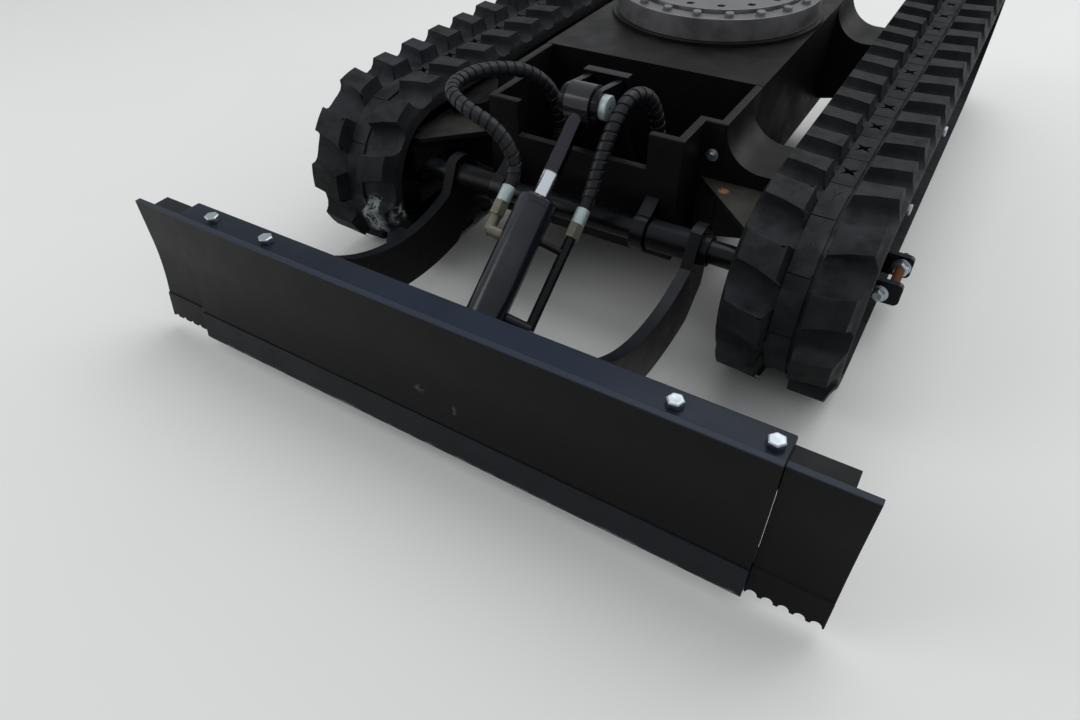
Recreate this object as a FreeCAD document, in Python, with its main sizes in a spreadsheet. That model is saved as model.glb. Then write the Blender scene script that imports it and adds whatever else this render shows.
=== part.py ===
import FreeCAD, Part
import math
import os
from types import SimpleNamespace

import Sketcher
from FreeCAD import Placement, Rotation, Vector

# Crawler undercarriage of a small excavator with its dozer blade, rubber tracks and slew ring.
# Millimetres. X to the machine's left side, Y to the rear, Z up from the ground.
# The origin is on the ground under the middle of the whole part.
# Setbacks are measured to the rear from the front of the cutting edge, and heights from the ground.

SIZES = {
    # rubber tracks
    "link_count": 36,
    "link_pitch": 72,
    "shoe_width": 160,
    "belt_thickness": 14,
    "lug_height": 22,
    "lug_root": 54,
    "lug_tip": 32,
    "lug_lead": 4,
    "lug_sweep": 12,
    "lug_end_slope": 9,
    "lug_nose_slope": 5,
    "centre_strip": 30,
    "window_length": 30,
    "window_width": 28,
    "horn_height": 16,
    "horn_width": 12,
    "horn_root": 30,
    "horn_tip": 20,
    "horn_gap": 34,
    "gauge": 680,
    "idler_setback": 404,
    "seat": 0.3,
    "overrun": 1,
    # idlers and sprockets
    "idler_width": 30,
    "idler_web": 14,
    "idler_rim": 20,
    "hub_length": 80,
    "hub_radius": 30,
    "axle_radius": 15,
    "sprocket_teeth": 10,
    "sprocket_width": 22,
    "tooth_root": 24,
    "tooth_tip": 13,
    "tooth_height": 12,
    "tooth_sunk": 3,
    # travel motors
    "motor_radius": 66,
    "motor_nose_radius": 54,
    "motor_nose": 14,
    "motor_cap_radius": 58,
    "motor_cap": 38,
    "motor_cap_bevel": 8,
    "motor_plate": 10,
    "motor_rim": 12,
    # track frames and what they carry
    "frame_width": 130,
    "frame_wall": 10,
    "frame_top": 220,
    "frame_base": 60,
    "frame_gap": 4,
    "frame_reach": 49,
    "frame_bevel": 26,
    "frame_throat": 104,
    "slot_length": 70,
    "slot_radius": 20,
    "yoke_thickness": 10,
    "yoke_tail": 60,
    "roller_radius": 38,
    "roller_rim": 15,
    "roller_groove": 62,
    "roller_core": 20,
    "roller_axle": 12,
    "roller_count": 4,
    "roller_spacing": 170,
    "slide_width": 28,
    "slide_length": 180,
    "slide_end": 24,
    "slide_bow": 6,
    # square lugs on the outer side of the frames
    "ear_plate_reach": 44,
    "ear_plate_height": 36,
    "ear_plate_thickness": 10,
    "ear_plate_base": 59,
    "ear_plate_setback": 524,
    "ear_plate_spacing": 76,
    "ear_plate_round": 8,
    "ear_pin_reach": 29,
    "ear_pin_radius": 6,
    "ear_pin_tail": 22,
    # slew ring
    "ring_radius": 172,
    "ring_height": 34,
    "ring_section": 26,
    "ring_base": 306,
    "race_gap": 1.5,
    "turntable_height": 40,
    "turntable_bolts": 16,
    "turntable_wall": 54.5,
    "bolt_inset": 19.5,
    "bolt_hole": 6.5,
    "swivel_radius": 45,
    # carbody, as wide as the deck that carries the slew ring
    "deck_margin": 8,
    "body_base": 118,
    "body_top": 300,
    "body_setback": 460,
    "well_setback": 600,
    "body_rear": 230,
    "tail_width": 260,
    "tail_depth": 40,
    "nose_setback": 388,
    "nose_width": 300,
    "nose_wall": 12,
    "mouth_width": 200,
    "mouth_base": 250,
    "leg_depth": 100,
    "leg_low": 130,
    "leg_rise": 20,
    "leg_top": 241,
    "leg_fillet": 57,
    "rear_leg_offset": 128,
    "gusset_thickness": 8,
    "gusset_root": 152,
    "gusset_reach": 105,
    "gusset_land": 14,
    "tower_setback": 456,
    "tower_depth": 16,
    "tower_top": 335,
    "tower_width": 68,
    "tower_foot_width": 120,
    "tower_waist_height": 190,
    "tower_web": 12,
    "tower_web_reach": 90,
    "port_block": 40,
    "port_block_top": 190,
    "port_setback": 475,
    "port_offset": 80,
    "port_radius": 14,
    "port_top": 209,
    "port_play": 3.3,
    # dozer blade
    "blade_width": 830,
    "blade_clearance": 20,
    "blade_height": 200,
    "edge_height": 42,
    "edge_thickness": 14,
    "edge_rake": 6,
    "edge_step": 2,
    "lip_setback": 17,
    "mould_thickness": 9,
    "mould_hollow": 1.5,
    "mould_bend": 165,
    "box_depth": 38,
    "box_height": 44,
    "box_wall": 6,
    "box_drop": 4,
    "stiffener_drop": 22,
    "stiffener_depth": 24,
    "stiffener_height": 16,
    "rib_thickness": 8,
    "rib_depth": 36,
    "rib_near": 110,
    "rib_far": 300,
    "wing_width": 85,
    "wing_plate": 8,
    "wing_drop": 6,
    "wing_edge_lift": 3,
    "tube_reach": 61,
    "tube_length": 230,
    "wear_pitch": 17,
    "wear_radius_left": 6,
    "wear_radius_right": 3.5,
    # blade arms and pivot
    "pivot_setback": 362,
    "pivot_height": 172,
    "shaft_radius": 16,
    "shaft_reach": 250,
    "shaft_play": 0.08,
    "sleeve_radius": 21,
    "sleeve_inner": 128,
    "sleeve_outer": 214,
    "arm_inner": 188,
    "arm_thickness": 16,
    "arm_end": 34,
    "ear_inner": 105,
    "ear_thickness": 20,
    "ear_radius": 26,
    "ear_root": 40,
    # blade cylinder
    "base_setback": 74,
    "base_height": 82,
    "rod_setback": 398,
    "rod_height": 316,
    "barrel_radius": 26.5,
    "barrel_bore": 21,
    "barrel_start": 30,
    "barrel_end": 240,
    "barrel_neck": 16,
    "barrel_floor": 12,
    "gland_length": 14,
    "gland_bevel": 4,
    "rod_radius": 11.5,
    "pin_radius": 11,
    "eye_radius": 22,
    "eye_width": 36,
    "rod_eye_radius": 26,
    "open_clearance": 8,
    "cheek_plate": 10,
    "pin_tail": 4,
    "pin_boss_radius": 16,
    "pin_boss": 10,
    "base_cheek_rise": 34,
    "rod_cheek_rise": 14,
    "rod_cheek_drop": 54,
    "piston_start": 140,
    "piston_length": 26,
    # hydraulic fittings, as distance along the cylinder, offset to the side and lift off its axis
    "feed_start": 91,
    "feed_end": 226,
    "feed_side": 50,
    "feed_lift": -33,
    "feed_radius": 7,
    "feed_strap": 203,
    "strap_radius": 5,
    "port_boss_radius": 9,
    "union_start": 190,
    "union_end": 212,
    "union_side": -43,
    "union_lift": 10,
    "union_radius": 8,
    "nut_flats": 19,
    "nut_length": 20,
    "ferrule_radius": 9.5,
    "ferrule_length": 23,
    "hose_radius": 8.5,
    "hose_stub": 22,
}

d = SimpleNamespace(**SIZES)

# Places worked out from the driving sizes.
d.pitch_radius = d.sprocket_teeth * d.link_pitch / (2 * math.pi)
d.idler_radius = d.pitch_radius - d.belt_thickness / 2
d.belt_radius = d.pitch_radius + d.belt_thickness / 2
d.lug_radius = d.belt_radius + d.lug_height
d.rim_radius = d.idler_radius - d.seat
d.axle_distance = (d.link_count - d.sprocket_teeth) * d.link_pitch / 2
d.total_length = d.idler_setback + d.axle_distance + d.lug_radius
d.front_y = -d.total_length / 2
d.idler_y = d.front_y + d.idler_setback
d.sprocket_y = d.idler_y + d.axle_distance
d.slew_y = d.idler_y + d.axle_distance / 2
d.axle_z = d.lug_radius
d.track_x = d.gauge / 2
d.frame_side = d.frame_width / 2
d.frame_inside = d.frame_side - d.frame_wall
d.frame_face = d.track_x - d.frame_side
d.frame_front = d.idler_y + d.idler_radius + d.frame_gap
d.frame_rear = d.sprocket_y - d.rim_radius - d.tooth_height - d.frame_gap
d.roller_z = d.axle_z - d.rim_radius + d.roller_radius
d.pivot_y = d.front_y + d.pivot_setback
d.base_y = d.front_y + d.base_setback
d.rod_y = d.front_y + d.rod_setback
d.blade_top = d.blade_clearance + d.blade_height
d.edge_top = d.blade_clearance + d.edge_height
d.edge_back = d.front_y + d.edge_rake + d.edge_thickness
d.lip_y = d.front_y + d.lip_setback
d.box_front = d.lip_y + d.mould_thickness
d.box_top = d.blade_top - d.box_drop
d.box_base = d.box_top - d.box_height
d.half_blade = d.blade_width / 2
d.cyl_run = d.rod_y - d.base_y
d.cyl_rise = d.rod_height - d.base_height
d.cyl_length = math.hypot(d.cyl_run, d.cyl_rise)
d.cyl_slope = math.degrees(math.atan2(d.cyl_rise, d.cyl_run))
d.nose_y = d.front_y + d.nose_setback
d.body_y = d.front_y + d.body_setback
d.well_y = d.front_y + d.well_setback
d.tower_y = d.front_y + d.tower_setback
d.port_y = d.front_y + d.port_setback
d.turntable_radius = d.ring_radius - d.ring_section - d.race_gap
d.turntable_bore = d.turntable_radius - d.turntable_wall
d.turntable_pcd = 2 * (d.turntable_radius - d.bolt_inset)
d.deck_radius = d.ring_radius + d.deck_margin
d.body_width = 2 * d.deck_radius
d.pin_length = d.eye_width + 2 * (d.seat + d.cheek_plate + d.pin_tail)

DERIVED = {name: value for name, value in vars(d).items() if name not in SIZES}

doc = FreeCAD.newDocument("undercarriage")


def write_sheet(name, cells):
    """Keep a table of named values in the document."""
    sheet = doc.addObject("Spreadsheet::Sheet", name)
    for row, (alias, value) in enumerate(cells.items(), start=1):
        sheet.set(f"A{row}", alias)
        sheet.set(f"B{row}", repr(value))
        sheet.setAlias(f"B{row}", alias)
    return sheet


write_sheet("Sizes", SIZES)
write_sheet("Layout", DERIVED)
doc.recompute()

sub_parts = []


def publish(item, label):
    """Register a finished object as the sub-part that its label names."""
    item.Label = label
    sub_parts.append(item)
    return item


def primitive(kind, at=("0", "0", "0"), turn=None, **sizes):
    """A Part primitive whose sizes and place follow the sheets."""
    item = doc.addObject(f"Part::{kind}", kind)
    if turn is not None:
        item.Placement = Placement(Vector(0, 0, 0), turn)
    for key, rule in sizes.items():
        item.setExpression(key, rule)
    place(item, *at)
    return item


def place(item, x, y, z):
    """Put an object where the sheets say."""
    for axis, rule in zip("xyz", (x, y, z)):
        item.setExpression(f"Placement.Base.{axis}", rule)


ALONG_X = Rotation(Vector(0, 1, 0), 90)
HALF_TURN = Rotation(Vector(0, 0, 1), 180)
SIDES = (("left", 1), ("right", -1))


def rod_x(x, y, z, radius, length):
    """A round bar along X that starts at x."""
    return primitive("Cylinder", (x, y, z), ALONG_X, Radius=radius, Height=length)


def block(x, y, z, length, width, height):
    """A box from its lowest corner."""
    return primitive("Box", (x, y, z), Length=length, Width=width, Height=height)


def cut(base, tool):
    """The base less the tool."""
    result = doc.addObject("Part::Cut", "Cut")
    result.Base = base
    result.Tool = tool
    return result


def fuse(*items):
    """Several objects joined into one."""
    result = doc.addObject("Part::MultiFuse", "Fuse")
    result.Shapes = list(items)
    result.Refine = True
    return result


def group(*items):
    """Separate solids that are kept together as one sub-part."""
    result = doc.addObject("Part::Compound", "Group")
    result.Links = list(items)
    return result


def feature(label, shape):
    """A sub-part whose shape is made by Part's own functions."""
    item = doc.addObject("Part::Feature", "Feature")
    item.Shape = shape
    return publish(item, label)


def mirrored(shape):
    """The shape on the other side of the middle plane."""
    return shape.mirror(Vector(0, 0, 0), Vector(1, 0, 0))


def both_sides(name, shape):
    """One sub-part for each track, drawn about x = 0 and mirrored for the right track."""
    for side, sign in SIDES:
        item = doc.addObject("Part::Feature", "Piece")
        item.Shape = shape if sign > 0 else mirrored(shape)
        item.setExpression("Placement.Base.x", f"{sign} * Layout.track_x")
        publish(item, f"{name}_{side}")


def side_view(a, b):
    """A point of an outline drawn in the YZ plane."""
    return Vector(0, a, b)


def front_view(a, b):
    """A point of an outline drawn in the XZ plane."""
    return Vector(a, 0, b)


def top_view(a, b):
    """A point of an outline drawn in the XY plane."""
    return Vector(a, b, 0)


def outline(start, *steps, view=side_view):
    """A closed wire: a step is an end point, or a pair of mid and end points for an arc."""
    edges = []
    here = view(*start)
    for step in steps + (start,):
        if isinstance(step[0], tuple):
            there = view(*step[1])
            edges.append(Part.Arc(here, view(*step[0]), there).toShape())
        else:
            there = view(*step)
            if there.distanceToPoint(here) < 1e-6:
                continue
            edges.append(Part.LineSegment(here, there).toShape())
        here = there
    return Part.Wire(edges)


def slab(wire, x, thickness):
    """A plate of a side view's outline from x towards +X."""
    moved = wire.copy()
    moved.translate(Vector(x, 0, 0))
    return Part.Face(moved).extrude(Vector(thickness, 0, 0))


def extruded_y(wire, y, depth):
    """A front view's outline carried towards the rear from y."""
    moved = wire.copy()
    moved.translate(Vector(0, y, 0))
    return Part.Face(moved).extrude(Vector(0, depth, 0))


def through_slab(wire, x, thickness):
    """A slab that reaches a little past both faces of the plate that it cuts."""
    return slab(wire, x - d.overrun, thickness + 2 * d.overrun)


def bar_x(x, y, z, radius, length):
    """A round bar along X as a plain shape."""
    return Part.makeCylinder(radius, length, Vector(x, y, z), Vector(1, 0, 0))


def bore_x(x, y, z, radius, length):
    """A bar that reaches a little past both ends of the bore that it cuts."""
    return bar_x(x - d.overrun, y, z, radius, length + 2 * d.overrun)


def cell_box(low, high):
    """A box between two corners as a plain shape."""
    size = [b - a for a, b in zip(low, high)]
    return Part.makeBox(*size, Vector(*low))


def joined(first, *others):
    """Shapes fused and cleaned of seams."""
    return first.fuse(list(others)).removeSplitter()


def largest(shape):
    """The largest solid of a shape that a cut may have split."""
    return max(shape.Solids, key=lambda solid: solid.Volume)


def plane(body, role):
    """One of a body's own origin planes."""
    return next(item for item in body.Origin.OriginFeatures if item.Role == role)


def new_sketch(body, name, role="XY_Plane"):
    """An empty sketch on one of a body's origin planes."""
    sketch = body.newObject("Sketcher::SketchObject", name)
    sketch.AttachmentSupport = [(plane(body, role), "")]
    sketch.MapMode = "FlatFace"
    return sketch


def eval_rule(rule):
    """The number that a rule of the sheets gives now."""
    probe = doc.addObject("App::FeaturePython", "Probe")
    probe.addProperty("App::PropertyFloat", "Value")
    probe.setExpression("Value", rule)
    probe.recompute()
    value = probe.Value
    doc.removeObject(probe.Name)
    return value


def sketch_polygon(body, corners):
    """A closed sketch whose corners follow rules of the sheets."""
    sketch = new_sketch(body, "Outline")
    count = len(corners)
    values = [[eval_rule(rule) for rule in corner] for corner in corners]
    for i in range(count):
        a = Vector(*values[i], 0)
        b = Vector(*values[(i + 1) % count], 0)
        sketch.addGeometry(Part.LineSegment(a, b), False)
    for i in range(count):
        sketch.addConstraint(Sketcher.Constraint("Coincident", i, 2, (i + 1) % count, 1))
    for i, (across, up) in enumerate(corners):
        for kind, rule, value in zip(("DistanceX", "DistanceY"), (across, up), values[i]):
            index = sketch.addConstraint(Sketcher.Constraint(kind, -1, 1, i, 1, value))
            sketch.setExpression(f"Constraints[{index}]", rule)
    return sketch


def sketch_circle(sketch, rule):
    """A circle about the sketch's origin whose radius follows a rule."""
    radius = eval_rule(rule)
    index = sketch.addGeometry(Part.Circle(Vector(0, 0, 0), Vector(0, 0, 1), radius), False)
    sketch.addConstraint(Sketcher.Constraint("Coincident", index, 3, -1, 1))
    held = sketch.addConstraint(Sketcher.Constraint("Radius", index, radius))
    sketch.setExpression(f"Constraints[{held}]", rule)


def pad(body, sketch, rule, symmetric=False):
    """A sketch raised to a thickness."""
    result = body.newObject("PartDesign::Pad", "Pad")
    result.Profile = sketch
    result.setExpression("Length", rule)
    result.Midplane = symmetric
    return result


def repeated(body, original, sketch, rule):
    """A feature repeated round the sketch's normal."""
    pattern = body.newObject("PartDesign::PolarPattern", "Pattern")
    pattern.Originals = [original]
    pattern.Axis = (sketch, ["N_Axis"])
    pattern.Angle = 360
    pattern.setExpression("Occurrences", rule)
    body.Tip = pattern
    return pattern


def revolved(corners):
    """A body turned about X from a polygon of (x, radius) rules."""
    body = doc.addObject("PartDesign::Body", "Turned")
    sketch = sketch_polygon(body, corners)
    turned = body.newObject("PartDesign::Revolution", "Revolution")
    turned.Profile = sketch
    turned.ReferenceAxis = (sketch, ["H_Axis"])
    turned.Angle = 360
    return body


def raised(corners, height):
    """A body raised from a polygon of (x, y) rules."""
    body = doc.addObject("PartDesign::Body", "Raised")
    pad(body, sketch_polygon(body, corners), height)
    return body


# Rubber tracks


def loop_point(distance, radius):
    """The point at a distance round the track loop, at a radius from the wheel centres."""
    straight = d.axle_distance
    bend = math.pi * d.pitch_radius
    s = distance % (2 * straight + 2 * bend)
    if s < straight:
        return (d.idler_y + s, d.axle_z + radius)
    s -= straight
    if s < bend:
        angle = s / d.pitch_radius
        return (d.sprocket_y + radius * math.sin(angle), d.axle_z + radius * math.cos(angle))
    s -= bend
    if s < straight:
        return (d.sprocket_y - s, d.axle_z - radius)
    angle = (s - straight) / d.pitch_radius
    return (d.idler_y - radius * math.sin(angle), d.axle_z - radius * math.cos(angle))


def stadium(radius):
    """The wire at a radius round both wheels."""
    z = d.axle_z
    return outline(
        (d.idler_y, z + radius),
        (d.sprocket_y, z + radius),
        ((d.sprocket_y + radius, z), (d.sprocket_y, z - radius)),
        (d.idler_y, z - radius),
        ((d.idler_y - radius, z), (d.idler_y, z + radius)),
    )


def loop_block(middle, root, tip, low, high):
    """The corners of a block that stands on the loop about a distance and tapers from root to tip."""
    return (
        loop_point(middle - root / 2, low),
        loop_point(middle - tip / 2, high),
        loop_point(middle + tip / 2, high),
        loop_point(middle + root / 2, low),
    )


def prism(corners, x, width):
    """A straight-sided prism along X over the corners."""
    points = [side_view(*corner) for corner in corners]
    return slab(Part.makePolygon(points + points[:1]), x, width)


def lug_ring(phase, shift):
    """The side view of a row of lugs, one to a link, moved along the loop by a shift."""
    corners = []
    for link in range(d.link_count):
        middle = (link + phase) * d.link_pitch + shift
        corners.extend(loop_block(middle, d.lug_root, d.lug_tip, d.belt_radius, d.lug_radius))
    points = [side_view(*corner) for corner in corners]
    return Part.makePolygon(points + points[:1])


def lug_row(phase, width):
    """A row of lugs from x = 0 to its width, swept to the rear and sloped to the belt at both ends."""
    near = lug_ring(phase, d.lug_lead)
    far = lug_ring(phase, d.lug_lead + d.lug_sweep)
    far.translate(Vector(width, 0, 0))
    teeth = Part.makeLoft([near, far], True, True)
    rings = []
    for x, step in ((0, d.lug_nose_slope), (width, -d.lug_end_slope)):
        low = stadium(d.belt_radius)
        high = stadium(d.lug_radius)
        low.translate(Vector(x, 0, 0))
        high.translate(Vector(x + step, 0, 0))
        rings.append((low, high))
    crown = Part.makeLoft([rings[0][0], rings[0][1], rings[1][1], rings[1][0]], True, True)
    return teeth.common(crown)


def guide_horns(middle):
    """The pair of horns inside the loop that keep the wheels between them."""
    root, tip = d.idler_radius + d.overrun, d.idler_radius - d.horn_height
    corners = loop_block(middle, d.horn_root, d.horn_tip, root, tip)
    horn = prism(corners, d.horn_gap / 2, d.horn_width)
    return [horn, mirrored(horn)]


def rubber_track():
    """A track loop about x = 0 with two staggered rows of lugs, sprocket windows and guide horns.

    Both sides carry the same loop, so its rows aren't mirrored.
    """
    half = d.shoe_width / 2
    strip = d.centre_strip / 2
    belt = slab(stadium(d.belt_radius), -half, d.shoe_width)
    hollow = through_slab(stadium(d.idler_radius), -half, d.shoe_width)
    outer = lug_row(0.5, half - strip)
    inner = mirrored(lug_row(0, half - strip))
    outer.translate(Vector(strip, 0, 0))
    inner.translate(Vector(-strip, 0, 0))
    horns = []
    windows = []
    for link in range(d.link_count):
        horns.extend(guide_horns((link + 0.5) * d.link_pitch))
        low, high = d.idler_radius - d.overrun, d.lug_radius + d.overrun
        corners = loop_block(link * d.link_pitch, d.window_length, d.window_length, low, high)
        windows.append(prism(corners, -d.window_width / 2, d.window_width))
    loop = joined(belt, outer, inner).cut(hollow)
    return joined(loop, *horns).cut(Part.makeCompound(windows))


track_shape = rubber_track()
for side, sign in SIDES:
    loop = doc.addObject("Part::Feature", "Loop")
    loop.Shape = track_shape
    loop.setExpression("Placement.Base.x", f"{sign} * Layout.track_x")
    publish(loop, f"track_{side}")


# Idlers, sprockets and travel motors

half_idler = "Sizes.idler_width / 2"
half_web = "Sizes.idler_web / 2"
half_hub = "Sizes.hub_length / 2"
rim_in = "Layout.rim_radius - Sizes.idler_rim"
IDLER_PROFILE = (
    (f"-{half_hub}", "Sizes.axle_radius"),
    (half_hub, "Sizes.axle_radius"),
    (half_hub, "Sizes.hub_radius"),
    (half_web, "Sizes.hub_radius"),
    (half_web, rim_in),
    (half_idler, rim_in),
    (half_idler, "Layout.rim_radius"),
    (f"-{half_idler}", "Layout.rim_radius"),
    (f"-{half_idler}", rim_in),
    (f"-{half_web}", rim_in),
    (f"-{half_web}", "Sizes.hub_radius"),
    (f"-{half_hub}", "Sizes.hub_radius"),
)
MOTOR_PROFILE = (
    ("-Layout.frame_side - Sizes.motor_nose", "0"),
    ("-Layout.frame_side - Sizes.motor_nose", "Sizes.motor_nose_radius"),
    ("-Layout.frame_side", "Sizes.motor_nose_radius"),
    ("-Layout.frame_side", "Sizes.motor_radius"),
    ("Sizes.sprocket_width / 2", "Sizes.motor_radius"),
    ("Sizes.sprocket_width / 2", "Sizes.motor_cap_radius"),
    ("Sizes.sprocket_width / 2 + Sizes.motor_cap - Sizes.motor_cap_bevel", "Sizes.motor_cap_radius"),
    ("Sizes.sprocket_width / 2 + Sizes.motor_cap", "Sizes.motor_cap_radius - Sizes.motor_cap_bevel"),
    ("Sizes.sprocket_width / 2 + Sizes.motor_cap", "0"),
)
TOOTH_PROFILE = (
    ("Layout.rim_radius - Sizes.tooth_sunk", "-Sizes.tooth_root / 2"),
    ("Layout.rim_radius + Sizes.tooth_height", "-Sizes.tooth_tip / 2"),
    ("Layout.rim_radius + Sizes.tooth_height", "Sizes.tooth_tip / 2"),
    ("Layout.rim_radius - Sizes.tooth_sunk", "Sizes.tooth_root / 2"),
)


def sprocket():
    """A toothed ring whose teeth stand in the track's windows."""
    body = doc.addObject("PartDesign::Body", "Sprocket")
    rings = new_sketch(body, "Rings")
    sketch_circle(rings, "Layout.rim_radius")
    sketch_circle(rings, "Sizes.motor_radius + Sizes.seat")
    pad(body, rings, "Sizes.sprocket_width", symmetric=True)
    tooth = pad(body, sketch_polygon(body, TOOTH_PROFILE), "Sizes.sprocket_width", symmetric=True)
    doc.recompute()
    repeated(body, tooth, rings, "Sizes.sprocket_teeth")
    body.Placement = Placement(Vector(0, 0, 0), ALONG_X)
    return body


for side, sign in SIDES:
    track_x = f"{sign} * Layout.track_x"
    idler = revolved(IDLER_PROFILE)
    place(idler, track_x, "Layout.idler_y", "Layout.axle_z")
    publish(idler, f"idler_{side}")
    ring = sprocket()
    place(ring, track_x, "Layout.sprocket_y", "Layout.axle_z")
    publish(ring, f"sprocket_{side}")
    motor = revolved(MOTOR_PROFILE)
    if sign < 0:
        motor.Placement = Placement(Vector(0, 0, 0), HALF_TURN)
    place(motor, track_x, "Layout.sprocket_y", "Layout.axle_z")
    publish(motor, f"travel_motor_{side}")


# Track frames with their rollers, slides, idler yokes and square lugs


def track_frame():
    """A frame about x = 0: two walls and a roof, open below, with the motor's plate at its rear."""
    side, inside = d.frame_side, d.frame_inside
    top, base, z = d.frame_top, d.frame_base, d.axle_z
    nose = d.idler_y - d.frame_reach
    wall = outline(
        (nose, top - d.frame_bevel),
        (nose + d.frame_bevel, top),
        (d.frame_rear, top),
        (d.frame_rear, base),
        (d.frame_front + d.frame_bevel, base),
        (d.frame_front - d.frame_bevel, d.frame_throat),
        (nose, d.frame_throat),
    )
    half_slot = d.slot_length / 2
    slot = outline(
        (d.idler_y - half_slot, z + d.slot_radius),
        (d.idler_y + half_slot, z + d.slot_radius),
        ((d.idler_y + half_slot + d.slot_radius, z), (d.idler_y + half_slot, z - d.slot_radius)),
        (d.idler_y - half_slot, z - d.slot_radius),
        ((d.idler_y - half_slot - d.slot_radius, z), (d.idler_y - half_slot, z + d.slot_radius)),
    )
    rim = d.motor_radius + d.motor_rim
    plate = outline(
        (d.frame_rear - rim, top),
        (d.sprocket_y - rim, top),
        (d.sprocket_y, z + rim),
        ((d.sprocket_y + rim, z), (d.sprocket_y, z - rim)),
        (d.frame_rear - rim, base),
    )
    walls = [slab(wall, x, d.frame_wall) for x in (-side, inside)]
    roof = cell_box((-side, d.frame_front, top - d.frame_wall), (side, d.frame_rear, top))
    rear = cell_box((-side, d.frame_rear - d.frame_wall, base), (side, d.frame_rear, top))
    shape = joined(roof, rear, slab(plate, -side, d.motor_plate), *walls)
    bore = bore_x(-side, d.sprocket_y, z, d.motor_radius, d.motor_plate)
    return shape.cut(Part.makeCompound([bore, through_slab(slot, -side, d.frame_width)]))


def idler_yoke():
    """The fork about x = 0 that holds the idler's axle and slides between the frame's walls."""
    outside = d.frame_inside - d.seat
    inside = outside - d.yoke_thickness
    tail = d.frame_front + d.yoke_tail
    z, r = d.axle_z, d.hub_radius
    wire = outline(
        (d.idler_y, z + r),
        (tail, z + r),
        (tail, z - r),
        (d.idler_y, z - r),
        ((d.idler_y - r, z), (d.idler_y, z + r)),
    )
    axle = bar_x(-outside, d.idler_y, z, d.axle_radius, 2 * outside)
    cheeks = [slab(wire, x, d.yoke_thickness) for x in (inside, -outside)]
    low = (-inside, d.frame_front, z - r)
    high = (inside, d.frame_front + d.yoke_thickness, z + r)
    bridge = cell_box(low, high)
    return joined(axle, bridge, *cheeks)


def top_slide():
    """The rail about x = 0 that the track's upper run slides on, with its ends turned down."""
    z, top = d.frame_top, d.axle_z + d.rim_radius
    low, high = d.slew_y - d.slide_length / 2, d.slew_y + d.slide_length / 2
    mid = (z + top) / 2
    wire = outline(
        (low, z),
        ((low + d.slide_bow, mid), (low + d.slide_end, top)),
        (high - d.slide_end, top),
        ((high - d.slide_bow, mid), (high, z)),
    )
    return slab(wire, -d.slide_width / 2, d.slide_width)


def ear_plate(y):
    """A square lug on the frame's outer face with its two free corners rounded."""
    root, tip = d.frame_side, d.frame_side + d.ear_plate_reach
    low, high = d.ear_plate_base, d.ear_plate_base + d.ear_plate_height
    r = d.ear_plate_round
    bulge = r * (1 - math.cos(math.pi / 4))
    wire = outline(
        (root, low),
        (tip - r, low),
        ((tip - bulge, low + bulge), (tip, low + r)),
        (tip, high - r),
        ((tip - bulge, high - bulge), (tip - r, high)),
        (root, high),
        view=front_view,
    )
    return extruded_y(wire, y, d.ear_plate_thickness)


def ear_plates():
    """Two square lugs on the frame's outer face, joined by a pin along Y."""
    front = d.front_y + d.ear_plate_setback
    start = Vector(
        d.frame_side + d.ear_pin_reach,
        front + d.ear_plate_thickness,
        d.ear_plate_base + d.ear_plate_height / 2,
    )
    length = d.ear_plate_spacing + d.ear_pin_tail
    pin = Part.makeCylinder(d.ear_pin_radius, length, start, Vector(0, 1, 0))
    return joined(pin, ear_plate(front), ear_plate(front + d.ear_plate_spacing))


both_sides("track_frame", track_frame())
both_sides("idler_yoke", idler_yoke())
both_sides("top_slide", top_slide())
both_sides("frame_lugs", ear_plates())


def roller(sign, offset):
    """A bottom roller: two rims that run outside the guide horns, on an axle across the frame."""
    y, z = f"Layout.slew_y + {offset} * Sizes.roller_spacing", "Layout.roller_z"
    middle = f"{sign} * Layout.track_x"
    core = "Sizes.roller_groove / 2 + Sizes.roller_rim"
    axle = "(Layout.frame_inside - Sizes.seat)"
    return fuse(
        rod_x(f"{middle} - {axle}", y, z, "Sizes.roller_axle", f"2 * {axle}"),
        rod_x(f"{middle} - ({core})", y, z, "Sizes.roller_core", f"2 * ({core})"),
        rod_x(f"{middle} - ({core})", y, z, "Sizes.roller_radius", "Sizes.roller_rim"),
        rod_x(f"{middle} + Sizes.roller_groove / 2", y, z, "Sizes.roller_radius", "Sizes.roller_rim"),
    )


for side, sign in SIDES:
    first = -(d.roller_count - 1) / 2
    publish(group(*[roller(sign, first + index) for index in range(d.roller_count)]), f"rollers_{side}")


# Carbody with its nose, legs and gussets

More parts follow.
